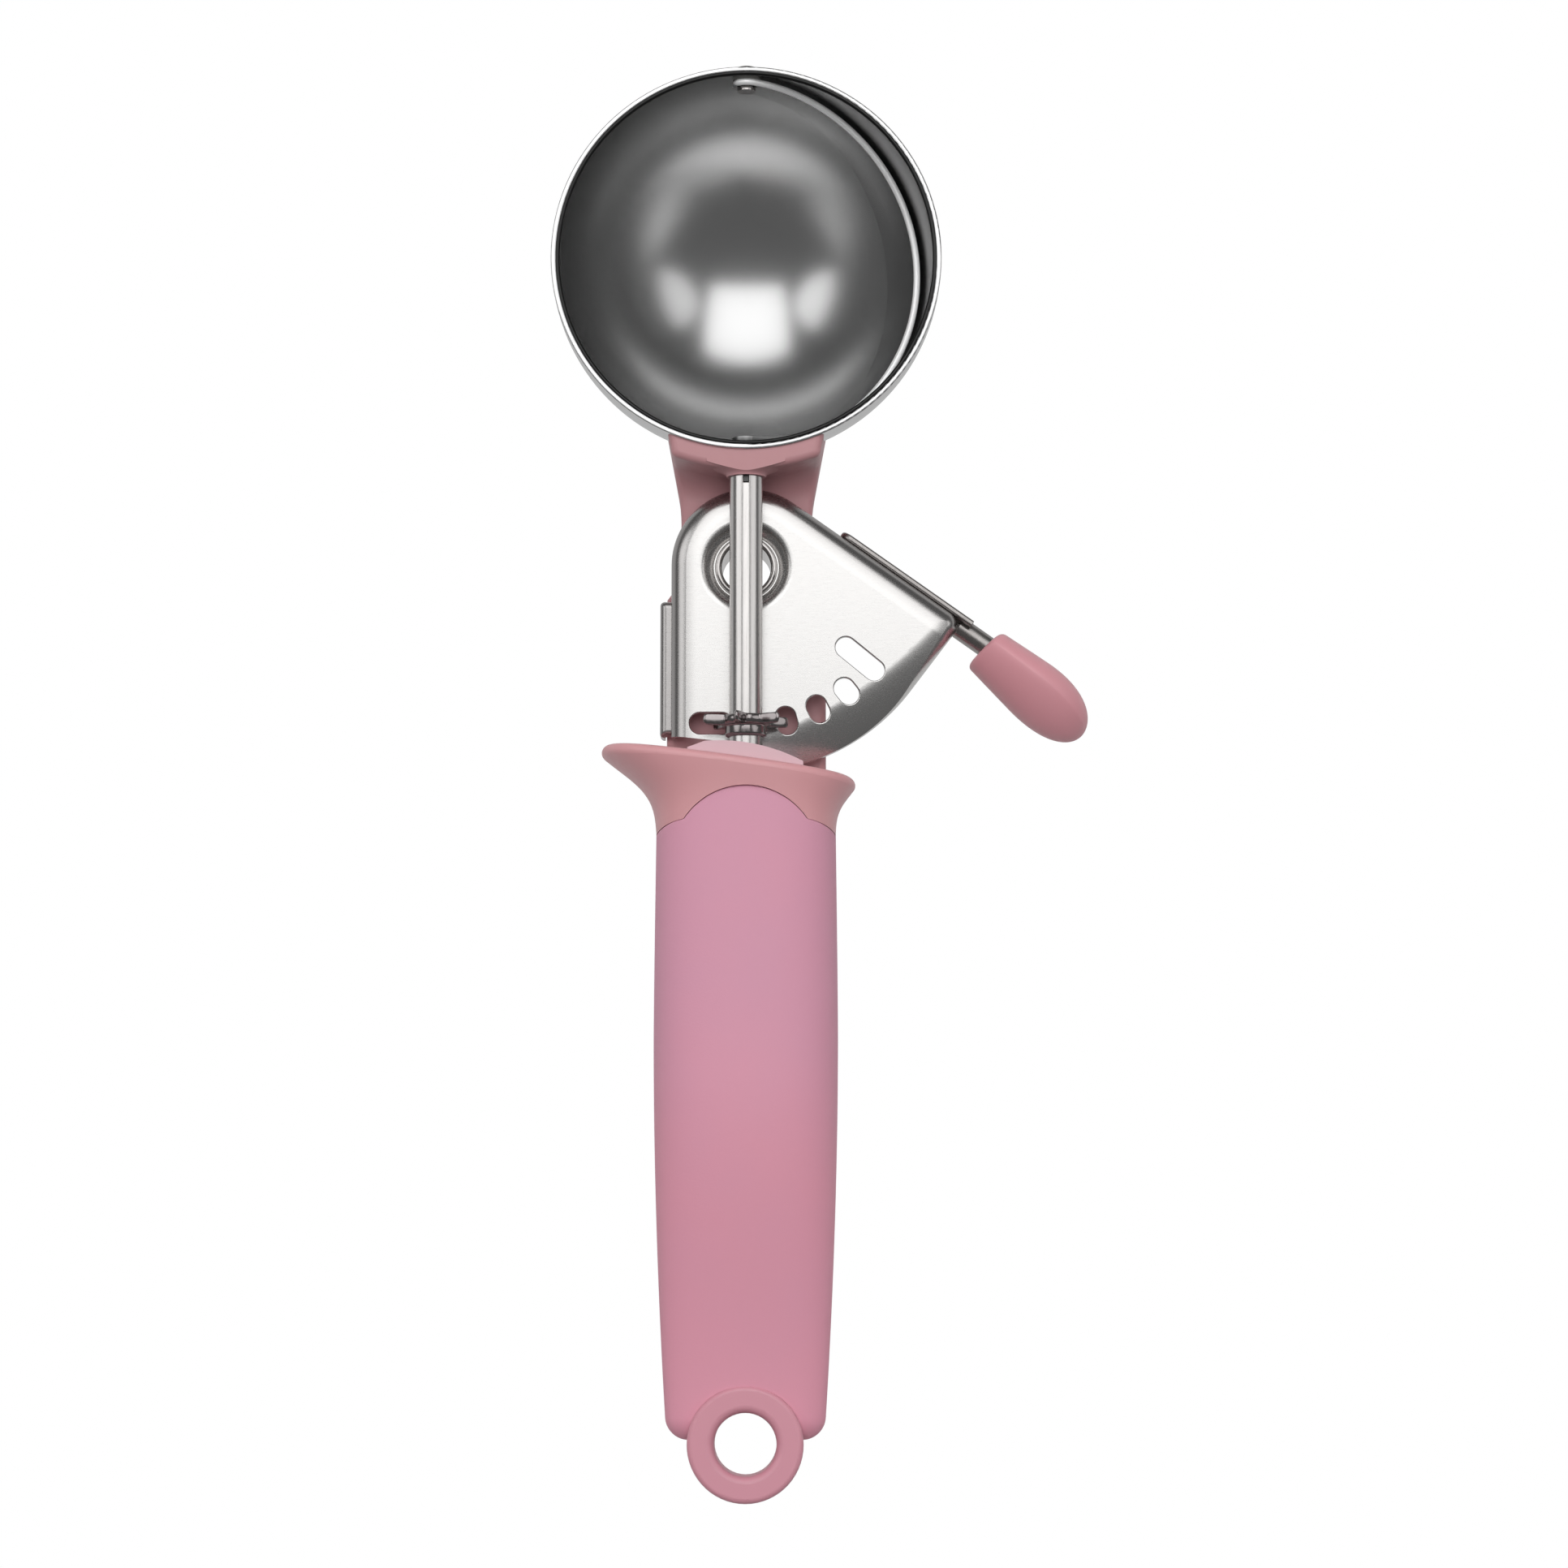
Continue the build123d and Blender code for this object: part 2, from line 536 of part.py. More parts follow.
hole_reach = (HOLE_LENGTH - HOLE_WIDTH) / 2
slot_outer = ARC_RADIUS - LONG_SLOT_FROM_ARC
holes = [radial_slot(slot_outer - LONG_SLOT_LENGTH, slot_outer, HOLE_WIDTH, LONG_SLOT_DEG)]
for number in range(DRIVEN_HOLES):
    angle = FIRST_HOLE_DEG + number * HOLE_PITCH_DEG
    holes.append(radial_slot(HOLE_CIRCLE - hole_reach, HOLE_CIRCLE + hole_reach, HOLE_WIDTH, angle))
rest_x, rest_y = on_arc(HOLE_CIRCLE, FIRST_HOLE_DEG - HOLE_PITCH_DEG)
rest_slot = SlotOverall(REST_HOLE_LENGTH, REST_HOLE_WIDTH)
holes.append(extrude(Pos(rest_x - REST_HOLE_SHIFT, rest_y) * rest_slot, THROUGH, both=True))
plate = plate - holes
front_edges = plate.edges().filter_by(lambda edge: edge.center().Z > -PLATE_SHEET / 2)
hole_rims = [edge for edge in front_edges if min(hole.distance_to(edge.center()) for hole in holes) < 0.001]
plate = fillet(hole_rims, HOLE_ROUND)

# Stop flange on the plate's left edge, stepped outwards and bent back past the frame's edge
flange_inner = -(FRAME_HALF_WIDTH + FLANGE_GAP)
flange_outer = flange_inner - PLATE_SHEET
flange_low = left_low[1] + FLANGE_ABOVE_CORNER
rear = -PLATE_DEPTH
step = block(flange_outer, left_x + PLATE_SHEET, flange_low, -FLANGE_TOP, rear - PLATE_SHEET, rear)
wing = block(flange_outer, flange_inner, flange_low, -FLANGE_TOP, rear - FLANGE_DEPTH, rear)
flange = step + wing
flange = fillet(flange.edges().filter_by(Axis.X).group_by(Axis.Z)[0], FLANGE_DEPTH / 4)
flange = fillet(flange.edges().filter_by(Axis.Z).group_by(Axis.X)[0], PLATE_SHEET * 0.85)
front_bend = flange.edges().filter_by(Axis.Y).group_by(Axis.X)[0].group_by(Axis.Z)[-1]
flange = fillet(front_bend, PLATE_SHEET * 1.4)
plate = plate + flange
sector_plate = Pos(0, PIVOT_Y, PLATE_FRONT) * plate

# Eyelet through plate and frame, with the washer behind the frame
lip_back = PLATE_FRONT - DIMPLE_DEPTH + SEAT_GAP
eyelet_low = FRAME_BACK - WASHER_SHEET - EYELET_LIP_SHEET
pivot_eyelet = post(EYELET_RADIUS, 0, PIVOT_Y, eyelet_low, lip_back + EYELET_LIP_SHEET)
front_lip = post(EYELET_LIP, 0, PIVOT_Y, lip_back, lip_back + EYELET_LIP_SHEET)
rear_lip = post(REAR_LIP, 0, PIVOT_Y, eyelet_low, eyelet_low + EYELET_LIP_SHEET)
pivot_eyelet = pivot_eyelet + front_lip + rear_lip
pivot_eyelet = pivot_eyelet - post(EYELET_BORE, 0, PIVOT_Y, -THROUGH, THROUGH)
pivot_eyelet = fillet(pivot_eyelet.edges().group_by(Axis.Z)[-1], EYELET_LIP_ROUND)
pivot_washer = post(WASHER_RADIUS, 0, PIVOT_Y, FRAME_BACK - WASHER_SHEET, FRAME_BACK)
pivot_washer = pivot_washer - post(EYELET_RADIUS, 0, PIVOT_Y, -THROUGH, THROUGH)

# Lever arm: a strip along the plate's straight edge that runs on as a round rod
on_edge = Pos(0, PIVOT_Y, PLATE_FRONT) * Rot(0, 0, -EDGE_SLOPE_DEG)
arm_top = -ARM_BEHIND_FRONT
arm_out = edge_offset + ARM_SHEET
strip_arm = block(ARM_START, ROD_START + ARM_OVER_ROD, edge_offset, arm_out, arm_top - ARM_DEPTH, arm_top)
ends = strip_arm.edges().filter_by(Axis.Y)
strip_arm = fillet(ends.group_by(Axis.X)[0], ARM_DEPTH * 0.4)
strip_arm = fillet(strip_arm.edges().filter_by(Axis.X).group_by(Axis.Z)[-1], ARM_SHEET * 0.4)
rod_across = arm_out - ROD_RADIUS
rod_line = Pos(ROD_START, rod_across, -ROD_DROP) * Rot(0, 90, 0)
rod_arm = rod_line * Cylinder(ROD_RADIUS, ROD_END - ROD_START, align=BASE)
taper_line = Pos(ROD_START - ROD_TAPER, rod_across, -ROD_DROP) * Rot(0, 90, 0)
taper = taper_line * Cone(ROD_RADIUS * 0.35, ROD_RADIUS, ROD_TAPER, align=BASE)
lever_arm = on_edge * (strip_arm + rod_arm + taper)

# Thumb pad: oval sections along the rod
pad_shares = [
    (0.0, 0.68, 0.78),
    (0.03, 0.745, 0.83),
    (0.12, 0.85, 0.91),
    (0.28, 0.94, 0.97),
    (0.52, 1.0, 1.0),
    (0.75, 0.92, 0.96),
    (0.89, 0.74, 0.80),
    (0.97, 0.48, 0.54),
    (1.0, 0.27, 0.31),
]
pad_sections = []
for share, high, deep in pad_shares:
    middle = Vector(PAD_START + PAD_LENGTH * share, rod_across - PAD_SAG * share, -ROD_DROP)
    plane = Plane(origin=middle, x_dir=(0, 1, 0), z_dir=(1, 0, 0))
    pad_sections.append(plane * oval(PAD_HALF_HEIGHT * high, PAD_HALF_DEPTH * deep, PAD_FULLNESS))
pad = loft(pad_sections)
socket_length = ROD_IN_PAD + 2 * SOCKET_END_GAP
socket = Pos(PAD_START - SOCKET_END_GAP, rod_across, -ROD_DROP) * Rot(0, 90, 0)
pad = pad - socket * Cylinder(ROD_RADIUS + SOCKET_GAP, socket_length, align=BASE)
thumb_pad = on_edge * pad

# Frame: back plate and neck cut from one side profile and one front outline
plate_low = GUARD_RIGHT_Y - FRAME_IN_GUARD
neck_high = BOWL_Y - BOWL_RADIUS + NECK_WRAP
side_profile = outline(
    [
        (plate_low, FRAME_BACK),
        (neck_high, FRAME_BACK),
        (neck_high, NECK_TOP),
        (NECK_Y, NECK_TOP),
        (NECK_Y, FRAME_FRONT),
        (plate_low, FRAME_FRONT),
    ]
)
side_profile = round_corner(side_profile, (NECK_Y, NECK_TOP), NECK_FRONT_ROUND)
side_profile = round_corner(side_profile, (NECK_Y, FRAME_FRONT), NECK_ROOT_ROUND)
waist_y = NECK_Y - WAIST_DROP
shoulder_y = PIVOT_Y - FLANGE_TOP + SHOULDER_RISE
front_points = [
    (FRAME_HALF_WIDTH, plate_low),
    (FRAME_HALF_WIDTH, shoulder_y),
    (WAIST_HALF_WIDTH + SHOULDER_STEP, shoulder_y + SHOULDER_HEIGHT),
    (WAIST_HALF_WIDTH, waist_y),
    (NECK_HALF_WIDTH, neck_high),
]
mirrored = [(-x, y) for x, y in reversed(front_points)]
front_outline = outline(front_points + mirrored)
for side in (-1, 1):
    front_outline = round_corner(front_outline, (side * WAIST_HALF_WIDTH, waist_y), WAIST_ROUND)
neck_axis = Axis((0, BOWL_Y, 0), (0, 0, 1))
frame = revolve(Plane.YZ * side_profile, neck_axis)
frame = frame & extrude(front_outline, THROUGH, both=True)
soft_edges = []
for edge in frame.edges():
    middle = edge.center()
    on_front = middle.Z > FRAME_BACK + 1 and plate_low + 0.5 < middle.Y < neck_high - 0.5
    upright = abs((edge % 0.5).Z) > 0.99
    if abs(middle.X) > WAIST_HALF_WIDTH - 1 and on_front and (not upright or abs(middle.Y - NECK_Y) < 0.05):
        soft_edges.append(edge)
frame = fillet(soft_edges, FRAME_ROUND)
boss_tip = SHAFT_RADIUS + NECK_BOSS_WALL
boss_radius = boss_tip + NECK_BOSS_FLARE
boss_face = make_face(
    [
        Line((0, -NECK_BOSS_LENGTH), (boss_tip, -NECK_BOSS_LENGTH)),
        Bezier(
            (boss_tip, -NECK_BOSS_LENGTH),
            (boss_tip, -NECK_BOSS_LENGTH * 0.2),
            (boss_tip + NECK_BOSS_FLARE * 0.5, NECK_FRONT_ROUND * 0.3),
            (boss_radius, NECK_FRONT_ROUND),
        ),
        Line((boss_radius, NECK_FRONT_ROUND), (boss_radius, NECK_WALL)),
        Line((boss_radius, NECK_WALL), (0, NECK_WALL)),
        Line((0, NECK_WALL), (0, -NECK_BOSS_LENGTH)),
    ]
)
boss = Pos(0, NECK_Y, SHAFT_Z) * revolve(boss_face, Axis.Y)
boss = boss & block(-boss_radius, boss_radius, 0, BOWL_Y, FRAME_FRONT, NECK_TOP)
frame = frame + boss
frame = frame - half_ball(BOWL_RADIUS, THROUGH)
frame = frame + post(PIVOT_BOSS_RADIUS, 0, PIVOT_Y, FRAME_BACK, DIMPLE_BACK - SEAT_GAP)
leg_x = -COIL_RADIUS - WIRE / 2 - COIL_END_GAP - ANCHOR_POST_RADIUS
leg_post_y = PIVOT_Y - ANCHOR_LEG + ANCHOR_POST_RISE
frame = frame + post(ANCHOR_POST_RADIUS, leg_x, leg_post_y, FRAME_BACK, FRAME_FRONT + ANCHOR_POST_HEIGHT)
tang_back = FRAME_BACK + TANG_INSET
tang_top_y = plate_low + TANG_IN_PLATE
tang = block(-TANG_HALF_WIDTH, TANG_HALF_WIDTH, TANG_LOW_Y, tang_top_y, tang_back, FRAME_FRONT)
frame = frame + tang
frame = frame - rod(SHAFT_RADIUS + RUNNING_GAP, PIVOT_Y, BOWL_Y, z=SHAFT_Z)
frame = frame - post(EYELET_RADIUS, 0, PIVOT_Y, -THROUGH, THROUGH)
frame = frame - rivet_holes[0] - rivet_holes[1]
pin_reach = CORE_HALF_DEPTH - TANG_PIN_COVER
tang_pin = post(TANG_PIN_RADIUS, 0, TANG_PIN_Y, -pin_reach, pin_reach)
frame = frame - tang_pin

# Return spring: straight leg, turns on pairs of arcs, straight leg
coil_low = FRAME_FRONT + WIRE / 2 + COIL_END_GAP
coil_high = PLATE_BACK - WIRE / 2 - COIL_END_GAP
push_deg = EDGE_SLOPE_DEG - PUSH_LEG_TURN_DEG
leg_turn = math.radians(PUSH_LEG_TURN_DEG)
leg_out = edge_offset - PLATE_SHEET - WIRE / 2 - PUSH_LEG_GAP
push_leg = (leg_out - COIL_RADIUS * math.cos(leg_turn)) / math.sin(leg_turn)
start_deg = 180.0
end_deg = 90.0 - push_deg
whole_turn = start_deg - end_deg + 360.0 * COIL_TURNS


def coil_point(share):
    """Point of the coil's centre line, wound clockwise from the frame to the plate."""
    angle = math.radians(start_deg - whole_turn * share)
    z = coil_low + (coil_high - coil_low) * share
    return Vector(COIL_RADIUS * math.cos(angle), PIVOT_Y + COIL_RADIUS * math.sin(angle), z)


def coil_way(share):
    """Direction of the centre line, level at both ends so that the legs lie flat."""
    angle = math.radians(start_deg - whole_turn * share)
    climb = 0.0
    if 0.0 < share < 1.0:
        climb = (coil_high - coil_low) / (math.radians(whole_turn) * COIL_RADIUS)
    return Vector(math.sin(angle), -math.cos(angle), climb).normalized()


def arc_pair(p0, t0, p1, t1):
    """Two arcs that leave p0 along t0, meet smoothly and arrive at p1 along t1."""
    chord = p1 - p0
    both = t0 + t1
    bend = 2 * (1 - t0.dot(t1))
    root = math.sqrt(chord.dot(both) ** 2 + bend * chord.dot(chord))
    reach = (root - chord.dot(both)) / bend
    joint = (p0 + p1 + (t0 - t1) * reach) * 0.5
    way = (p1 - t1 * reach - p0 - t0 * reach).normalized()
    return [TangentArc(p0, joint, tangent=t0), TangentArc(joint, p1, tangent=way)]


quarters = round(whole_turn / 90)
first = coil_point(0)
last = coil_point(1)
wire_path = [Line(first - coil_way(0) * ANCHOR_LEG, first)]
for number in range(quarters):
    here = number / quarters
    there = (number + 1) / quarters
    wire_path += arc_pair(coil_point(here), coil_way(here), coil_point(there), coil_way(there))
wire_path.append(Line(last, last + coil_way(1) * push_leg))
wire_line = Wire([edge for part in wire_path for edge in part.edges()])
wire_start = Plane(origin=first - coil_way(0) * ANCHOR_LEG, z_dir=coil_way(0))
return_spring = sweep(wire_start * Circle(WIRE / 2), path=wire_line)
samples = 400
spacing = wire_line.length / samples
skip = math.ceil(3 * WIRE / spacing)
centres = [wire_line @ (number / samples) for number in range(samples + 1)]
nearest = min((p - q).length for i, p in enumerate(centres) for q in centres[i + skip :])
print("spring least gap to itself", round(nearest - WIRE, 3))

# Bearing block in front of the shaft's lower end
block_back = PLATE_FRONT + BLOCK_OVER_PLATE
block_front = SHAFT_Z + SHAFT_RADIUS + BLOCK_WALL
block_low = SHAFT_LOW_Y - BLOCK_BELOW_SHAFT
left_shoulder = (-BLOCK_LEFT, BLOCK_TOP_Y - BLOCK_LEFT_DROP)
right_shoulder = (BLOCK_RIGHT, BLOCK_TOP_Y - BLOCK_RIGHT_DROP)
crown = (BLOCK_CROWN_X, BLOCK_TOP_Y - BLOCK_CROWN_DROP)
peak = (BLOCK_PEAK_X, BLOCK_TOP_Y)
block_face = make_face(
    [
        Line((-BLOCK_LEFT, block_low), (BLOCK_RIGHT, block_low)),
        Line((BLOCK_RIGHT, block_low), right_shoulder),
        ThreePointArc(right_shoulder, crown, peak),
        Line(peak, left_shoulder),
        Line(left_shoulder, (-BLOCK_LEFT, block_low)),
    ]
)
block_face = round_corner(block_face, peak, BLOCK_ROUND)
bearing_block = Pos(0, 0, block_back) * extrude(block_face, block_front - block_back)
socket_y = SHAFT_LOW_Y - SHAFT_END_GAP
bearing_block = bearing_block - rod(SHAFT_RADIUS + RUNNING_GAP, socket_y, BOWL_Y, z=SHAFT_Z)

# Handle: grip and guard as one outer form, parted along a scalloped line
grip_rows = [
    (0.006, 0.845, 0.36),
    (0.14, 0.90, 0.45),
    (0.30, 0.955, 0.75),
    (0.48, 0.99, 0.95),
    (0.67, 1.0, 1.0),
    (0.85, 0.987, 1.0),
]
grip_sections = []
for high, wide, deep in grip_rows:
    x = GRIP_HALF_WIDTH * wide
    y = GUARD_LOW_Y * high
    grip_sections.append(cross_section(-x, y, x, y, GRIP_HALF_DEPTH * deep))
guard_x = GRIP_HALF_WIDTH - GUARD_WAIST
grip_sections.append(cross_section(-guard_x, GUARD_LOW_Y, guard_x, GUARD_LOW_Y, GRIP_HALF_DEPTH))
grip_form = loft(grip_sections)
grip_form = fillet(grip_form.faces().sort_by(Axis.Y)[0].edges(), GRIP_END_ROUND)
left_flare = GUARD_LEFT - guard_x
right_flare = GUARD_RIGHT - guard_x
guard_rows = [
    (0.0, 0.0),
    (0.2, 0.03),
    (0.4, 0.13),
    (0.6, 0.36),
    (0.8, 0.70),
    (1.0, 1.0),
]
guard_sections = []
for rise, flare in guard_rows:
    guard_sections.append(
        cross_section(
            -guard_x - left_flare * flare,
            GUARD_LOW_Y + GUARD_LEFT_RISE * rise,
            guard_x + right_flare * flare,
            GUARD_LOW_Y + GUARD_RIGHT_RISE * rise,
            GRIP_HALF_DEPTH + GUARD_DEPTH_FLARE * flare,
        )
    )
guard_form = loft(guard_sections)
guard_form = fillet(guard_form.faces().sort_by(Axis.Y)[-1].edges(), GUARD_ROUND)
outer_form = grip_form + guard_form
line_y = GUARD_LOW_Y - SCALLOP_DROP
arch_y = line_y + SCALLOP_SHOULDER
arch_top = line_y + SCALLOP_RISE
side_x = (GRIP_HALF_WIDTH + SCALLOP_SHOULDER_X) / 2
side_y = line_y + SCALLOP_SHOULDER * 0.7
scallop = make_face(
    [
        Line((-THROUGH, line_y), (-GRIP_HALF_WIDTH, line_y)),
        ThreePointArc((-GRIP_HALF_WIDTH, line_y), (-side_x, side_y), (-SCALLOP_SHOULDER_X, arch_y)),
        ThreePointArc((-SCALLOP_SHOULDER_X, arch_y), (0, arch_top), (SCALLOP_SHOULDER_X, arch_y)),
        ThreePointArc((SCALLOP_SHOULDER_X, arch_y), (side_x, side_y), (GRIP_HALF_WIDTH, line_y)),
        Line((GRIP_HALF_WIDTH, line_y), (THROUGH, line_y)),
        Line((THROUGH, line_y), (THROUGH, -THROUGH)),
        Line((THROUGH, -THROUGH), (-THROUGH, -THROUGH)),
        Line((-THROUGH, -THROUGH), (-THROUGH, line_y)),
    ]
)
below_line = extrude(scallop, THROUGH, both=True)
ring = Cylinder(RING_RADIUS, RING_DEPTH)
ring = fillet(ring.edges(), RING_ROUND)
ring_space = Cylinder(RING_RADIUS, RING_DEPTH * 2)
core_rows = [
    (0.084, 0.55, 0.33),
    (0.23, 0.8, 0.55),
    (0.47, 1.0, 1.0),
    (1.0 + SCALLOP_RISE / GUARD_LOW_Y, 1.0, 1.0),
]
core_sections = []
for high, wide, deep in core_rows:
    x = CORE_HALF_WIDTH * wide
    y = GUARD_LOW_Y * high
    core_sections.append(cross_section(-x, y, x, y, CORE_HALF_DEPTH * deep))
core = loft(core_sections, ruled=True)
grip_sleeve = (outer_form & below_line) - core - ring_space - bearing_block
handle_core = (outer_form - below_line) + core + ring
hang_hole = Cylinder(HANG_HOLE_RADIUS, RING_DEPTH * 2)
handle_core = handle_core - hang_hole
hole_edges = handle_core.edges().filter_by(GeomType.CIRCLE)
hole_edges = hole_edges.filter_by(lambda edge: abs(edge.radius - HANG_HOLE_RADIUS) < 0.01)
handle_core = fillet(hole_edges, HANG_HOLE_ROUND)
pocket_back = PLATE_REAR_EDGE - POCKET_BEHIND_PLATE
arc_pocket = post(ARC_RADIUS + POCKET_GAP, 0, PIVOT_Y, pocket_back, block_back)
handle_core = handle_core - frame - bearing_block - arc_pocket - tang_pin
handle_core = handle_core - rod(SHAFT_RADIUS + SHAFT_HOLE_GAP, socket_y, BOWL_Y, z=SHAFT_Z)

nodes = {
    "bowl": bowl,
    "bowl_rivets": bowl_rivets,
    "frame": frame,
    "bearing_block": bearing_block,
    "handle_core": handle_core,
    "grip_sleeve": grip_sleeve,
    "tang_pin": tang_pin,
    "pivot_eyelet": pivot_eyelet,
    "pivot_washer": pivot_washer,
    "return_spring": return_spring,
    "blade_pivot_rivet": blade_pivot_rivet,
    "blade_pivot_washer": blade_pivot_washer,
    "sector_plate": sector_plate,
    "lever_arm": lever_arm,
    "thumb_pad": thumb_pad,
    "shaft": shaft,
    "pinion": pinion,
    "scraper_blade": scraper_blade,
    "blade_pin": blade_pin,
}
for name, solid in nodes.items():
    export_step(solid, f"parts/{name}.step")
print("lever hinge", (0, PIVOT_Y, PLATE_FRONT), "shaft hinge", (0, BOWL_Y, SHAFT_Z), "ratio", RATIO)
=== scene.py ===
# %% [markdown]
# # An ice cream scoop with a thumb lever
# The scoop lies on its back with the bowl's mouth up. Most of its pieces come ready from the packed
# model, which is loaded first as a fixed frame. This script adds what the eye looks for: soft forms,
# fine edges, a finish for every surface, a floor, light and a camera. Sizes are written in
# millimetres and turned into metres when a mesh is made. The origin is the centre of the hanging
# hole, +Y runs along the handle to the bowl, and +Z points out of the bowl's mouth.

# %% Load the frame
import math

import bpy
import numpy as np
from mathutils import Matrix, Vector


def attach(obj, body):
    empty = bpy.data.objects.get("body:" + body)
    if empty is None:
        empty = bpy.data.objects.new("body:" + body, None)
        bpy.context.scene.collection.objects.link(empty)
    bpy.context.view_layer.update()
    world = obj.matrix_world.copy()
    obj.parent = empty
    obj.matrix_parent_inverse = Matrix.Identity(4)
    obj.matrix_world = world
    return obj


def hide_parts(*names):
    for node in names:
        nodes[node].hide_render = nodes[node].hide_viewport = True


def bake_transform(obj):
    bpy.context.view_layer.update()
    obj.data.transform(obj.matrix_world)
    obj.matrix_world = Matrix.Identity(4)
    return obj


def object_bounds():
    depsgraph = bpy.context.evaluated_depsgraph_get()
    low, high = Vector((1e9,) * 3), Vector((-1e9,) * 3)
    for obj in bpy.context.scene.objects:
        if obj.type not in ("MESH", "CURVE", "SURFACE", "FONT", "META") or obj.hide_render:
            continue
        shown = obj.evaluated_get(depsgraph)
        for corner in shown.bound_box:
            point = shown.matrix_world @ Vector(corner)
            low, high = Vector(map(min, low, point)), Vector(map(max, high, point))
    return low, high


MM = 0.001
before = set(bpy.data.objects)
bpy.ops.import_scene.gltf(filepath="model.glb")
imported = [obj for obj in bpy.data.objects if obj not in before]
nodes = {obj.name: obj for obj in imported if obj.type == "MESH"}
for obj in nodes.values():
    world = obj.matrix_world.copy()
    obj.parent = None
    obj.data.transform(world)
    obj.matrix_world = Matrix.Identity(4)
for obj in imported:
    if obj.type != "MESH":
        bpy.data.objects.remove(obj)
collection = bpy.context.scene.collection
cad_low, cad_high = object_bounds()
print("nodes", len(nodes), "cad box", tuple(cad_low), tuple(cad_high))

# %% [markdown]
# ## Camera
# The photograph looks almost straight down on the scoop, leaning a few degrees towards the handle's
# end, so that the near rim's outside and the hand guard's front show. The camera could be moved by
# hand until it fits, but an aim, a pitch and a distance say what it does. A long lens from two thirds
# of a metre gives the same gentle perspective, and the bowl's rim, a circle of known size, sets aim
# and lens. Camera, floor and lights are placed in metres.

# %% Camera
AIM = Vector((0.006, 0.1026, 0.0065))
PITCH_DEG = 7.0
CAMERA_DISTANCE = 0.65
LENS_MM = 95.05
SENSOR_MM = 36.0
NEAR_CLIP = 0.01
pitch = math.radians(PITCH_DEG)
look = Vector((0.0, math.sin(pitch), -math.cos(pitch)))
camera_data = bpy.data.cameras.new("camera")
camera_data.lens = LENS_MM
camera_data.sensor_width = SENSOR_MM
camera_data.clip_start = NEAR_CLIP
camera = bpy.data.objects.new("camera", camera_data)
camera.location = AIM - look * CAMERA_DISTANCE
camera.rotation_euler = (pitch, 0.0, 0.0)
collection.objects.link(camera)
bpy.context.scene.camera = camera
print("camera at", tuple(camera.location))

# %% [markdown]
# ## Surfaces from numpy grids
# A modeller would push and pull these forms by hand or cut them from primitives. Here each new piece
# is a formula: a grid of points with rows along the piece and columns round it, computed as whole
# arrays. The columns always close, because every piece goes round an axis. The rows end in two caps,
# or close as well on a ring.

# %% Grid surface


def surface_piece(name, points, body=None, ring=False):
    """Mesh object from rows x columns x 3 points in millimetres.

    Each quad joins a point to its neighbours one column and one row further. The rows close too on
    a ring, and otherwise the first and last row get a cap.
    """
    rows, columns = points.shape[:2]
    index = np.arange(rows * columns).reshape(rows, columns)
    here = index if ring else index[:-1]
    above = np.roll(index, -1, axis=0) if ring else index[1:]
    quads = np.stack([here, np.roll(here, -1, axis=1), np.roll(above, -1, axis=1), above], axis=-1)
    faces = quads.reshape(-1, 4).tolist()
    if not ring:
        faces.append(index[0][::-1].tolist())
        faces.append(index[-1].tolist())
    mesh = bpy.data.meshes.new(name)
    mesh.from_pydata((points.reshape(-1, 3) * MM).tolist(), [], faces)
    mesh.shade_smooth()
    piece = bpy.data.objects.new(name, mesh)
    collection.objects.link(piece)
    if body:
        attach(piece, body)
    print(name, "rows", rows, "columns", columns)
    return piece


# %% [markdown]
# ## Soft grip sleeve
# On the real scoop the grip is a soft rubber-like layer moulded over the handle's hard core. It ends
# below in a flat tongue round the hanging ring, and above along a scalloped line against the hand
# guard. A cylinder could be scaled and cut to this form, which leaves ragged faces along the cuts.
# Here width and depth are smooth formulas of the height, and the rows stretch from the ring's circle
# to the scallop, so that both ends follow their curves with no cutting.

# %% The grip's width and depth
GRIP_TOP = 95.3
GRIP_HALF_WIDTH = 14.5
GRIP_HALF_DEPTH = 12.0
WIDEST_SHARE = 0.67
TAPER = 0.155
TAPER_POWER = 1.9
WAIST = 0.021
WAIST_POWER = 1.3
WAIST_LIMIT = 1.2
TONGUE_DEPTH = 0.36
SWELL_SHARE = 0.6


def grip_width(y):
    """Half width W (1 - taper (1 - s / w)^1.9) below the widest share w, and a waist above it."""
    share = y / GRIP_TOP
    below = np.clip(1 - share / WIDEST_SHARE, 0, 1) ** TAPER_POWER
    above = np.clip((share - WIDEST_SHARE) / (1 - WIDEST_SHARE), 0, WAIST_LIMIT) ** WAIST_POWER
    return GRIP_HALF_WIDTH * (1 - TAPER * below - WAIST * above)


def grip_depth(y):
    """Half depth D (t + (1 - t) s^2 (3 - 2 s)): a flat tongue t at the ring, swelling to the grip."""
    share = np.clip(y / GRIP_TOP / SWELL_SHARE, 0, 1)
    swell = share**2 * (3 - 2 * share)
    return GRIP_HALF_DEPTH * (TONGUE_DEPTH + (1 - TONGUE_DEPTH) * swell)


print("grip's half width and depth at its middle", grip_width(GRIP_TOP / 2), grip_depth(GRIP_TOP / 2))

# %% The grip's scalloped end
SCALLOP_LOW = 94.8
SCALLOP_SHOULDER = 1.9
SCALLOP_SHOULDER_X = 9.7
SCALLOP_ARCH = 5.1
SHOULDER_POWER = 1.74


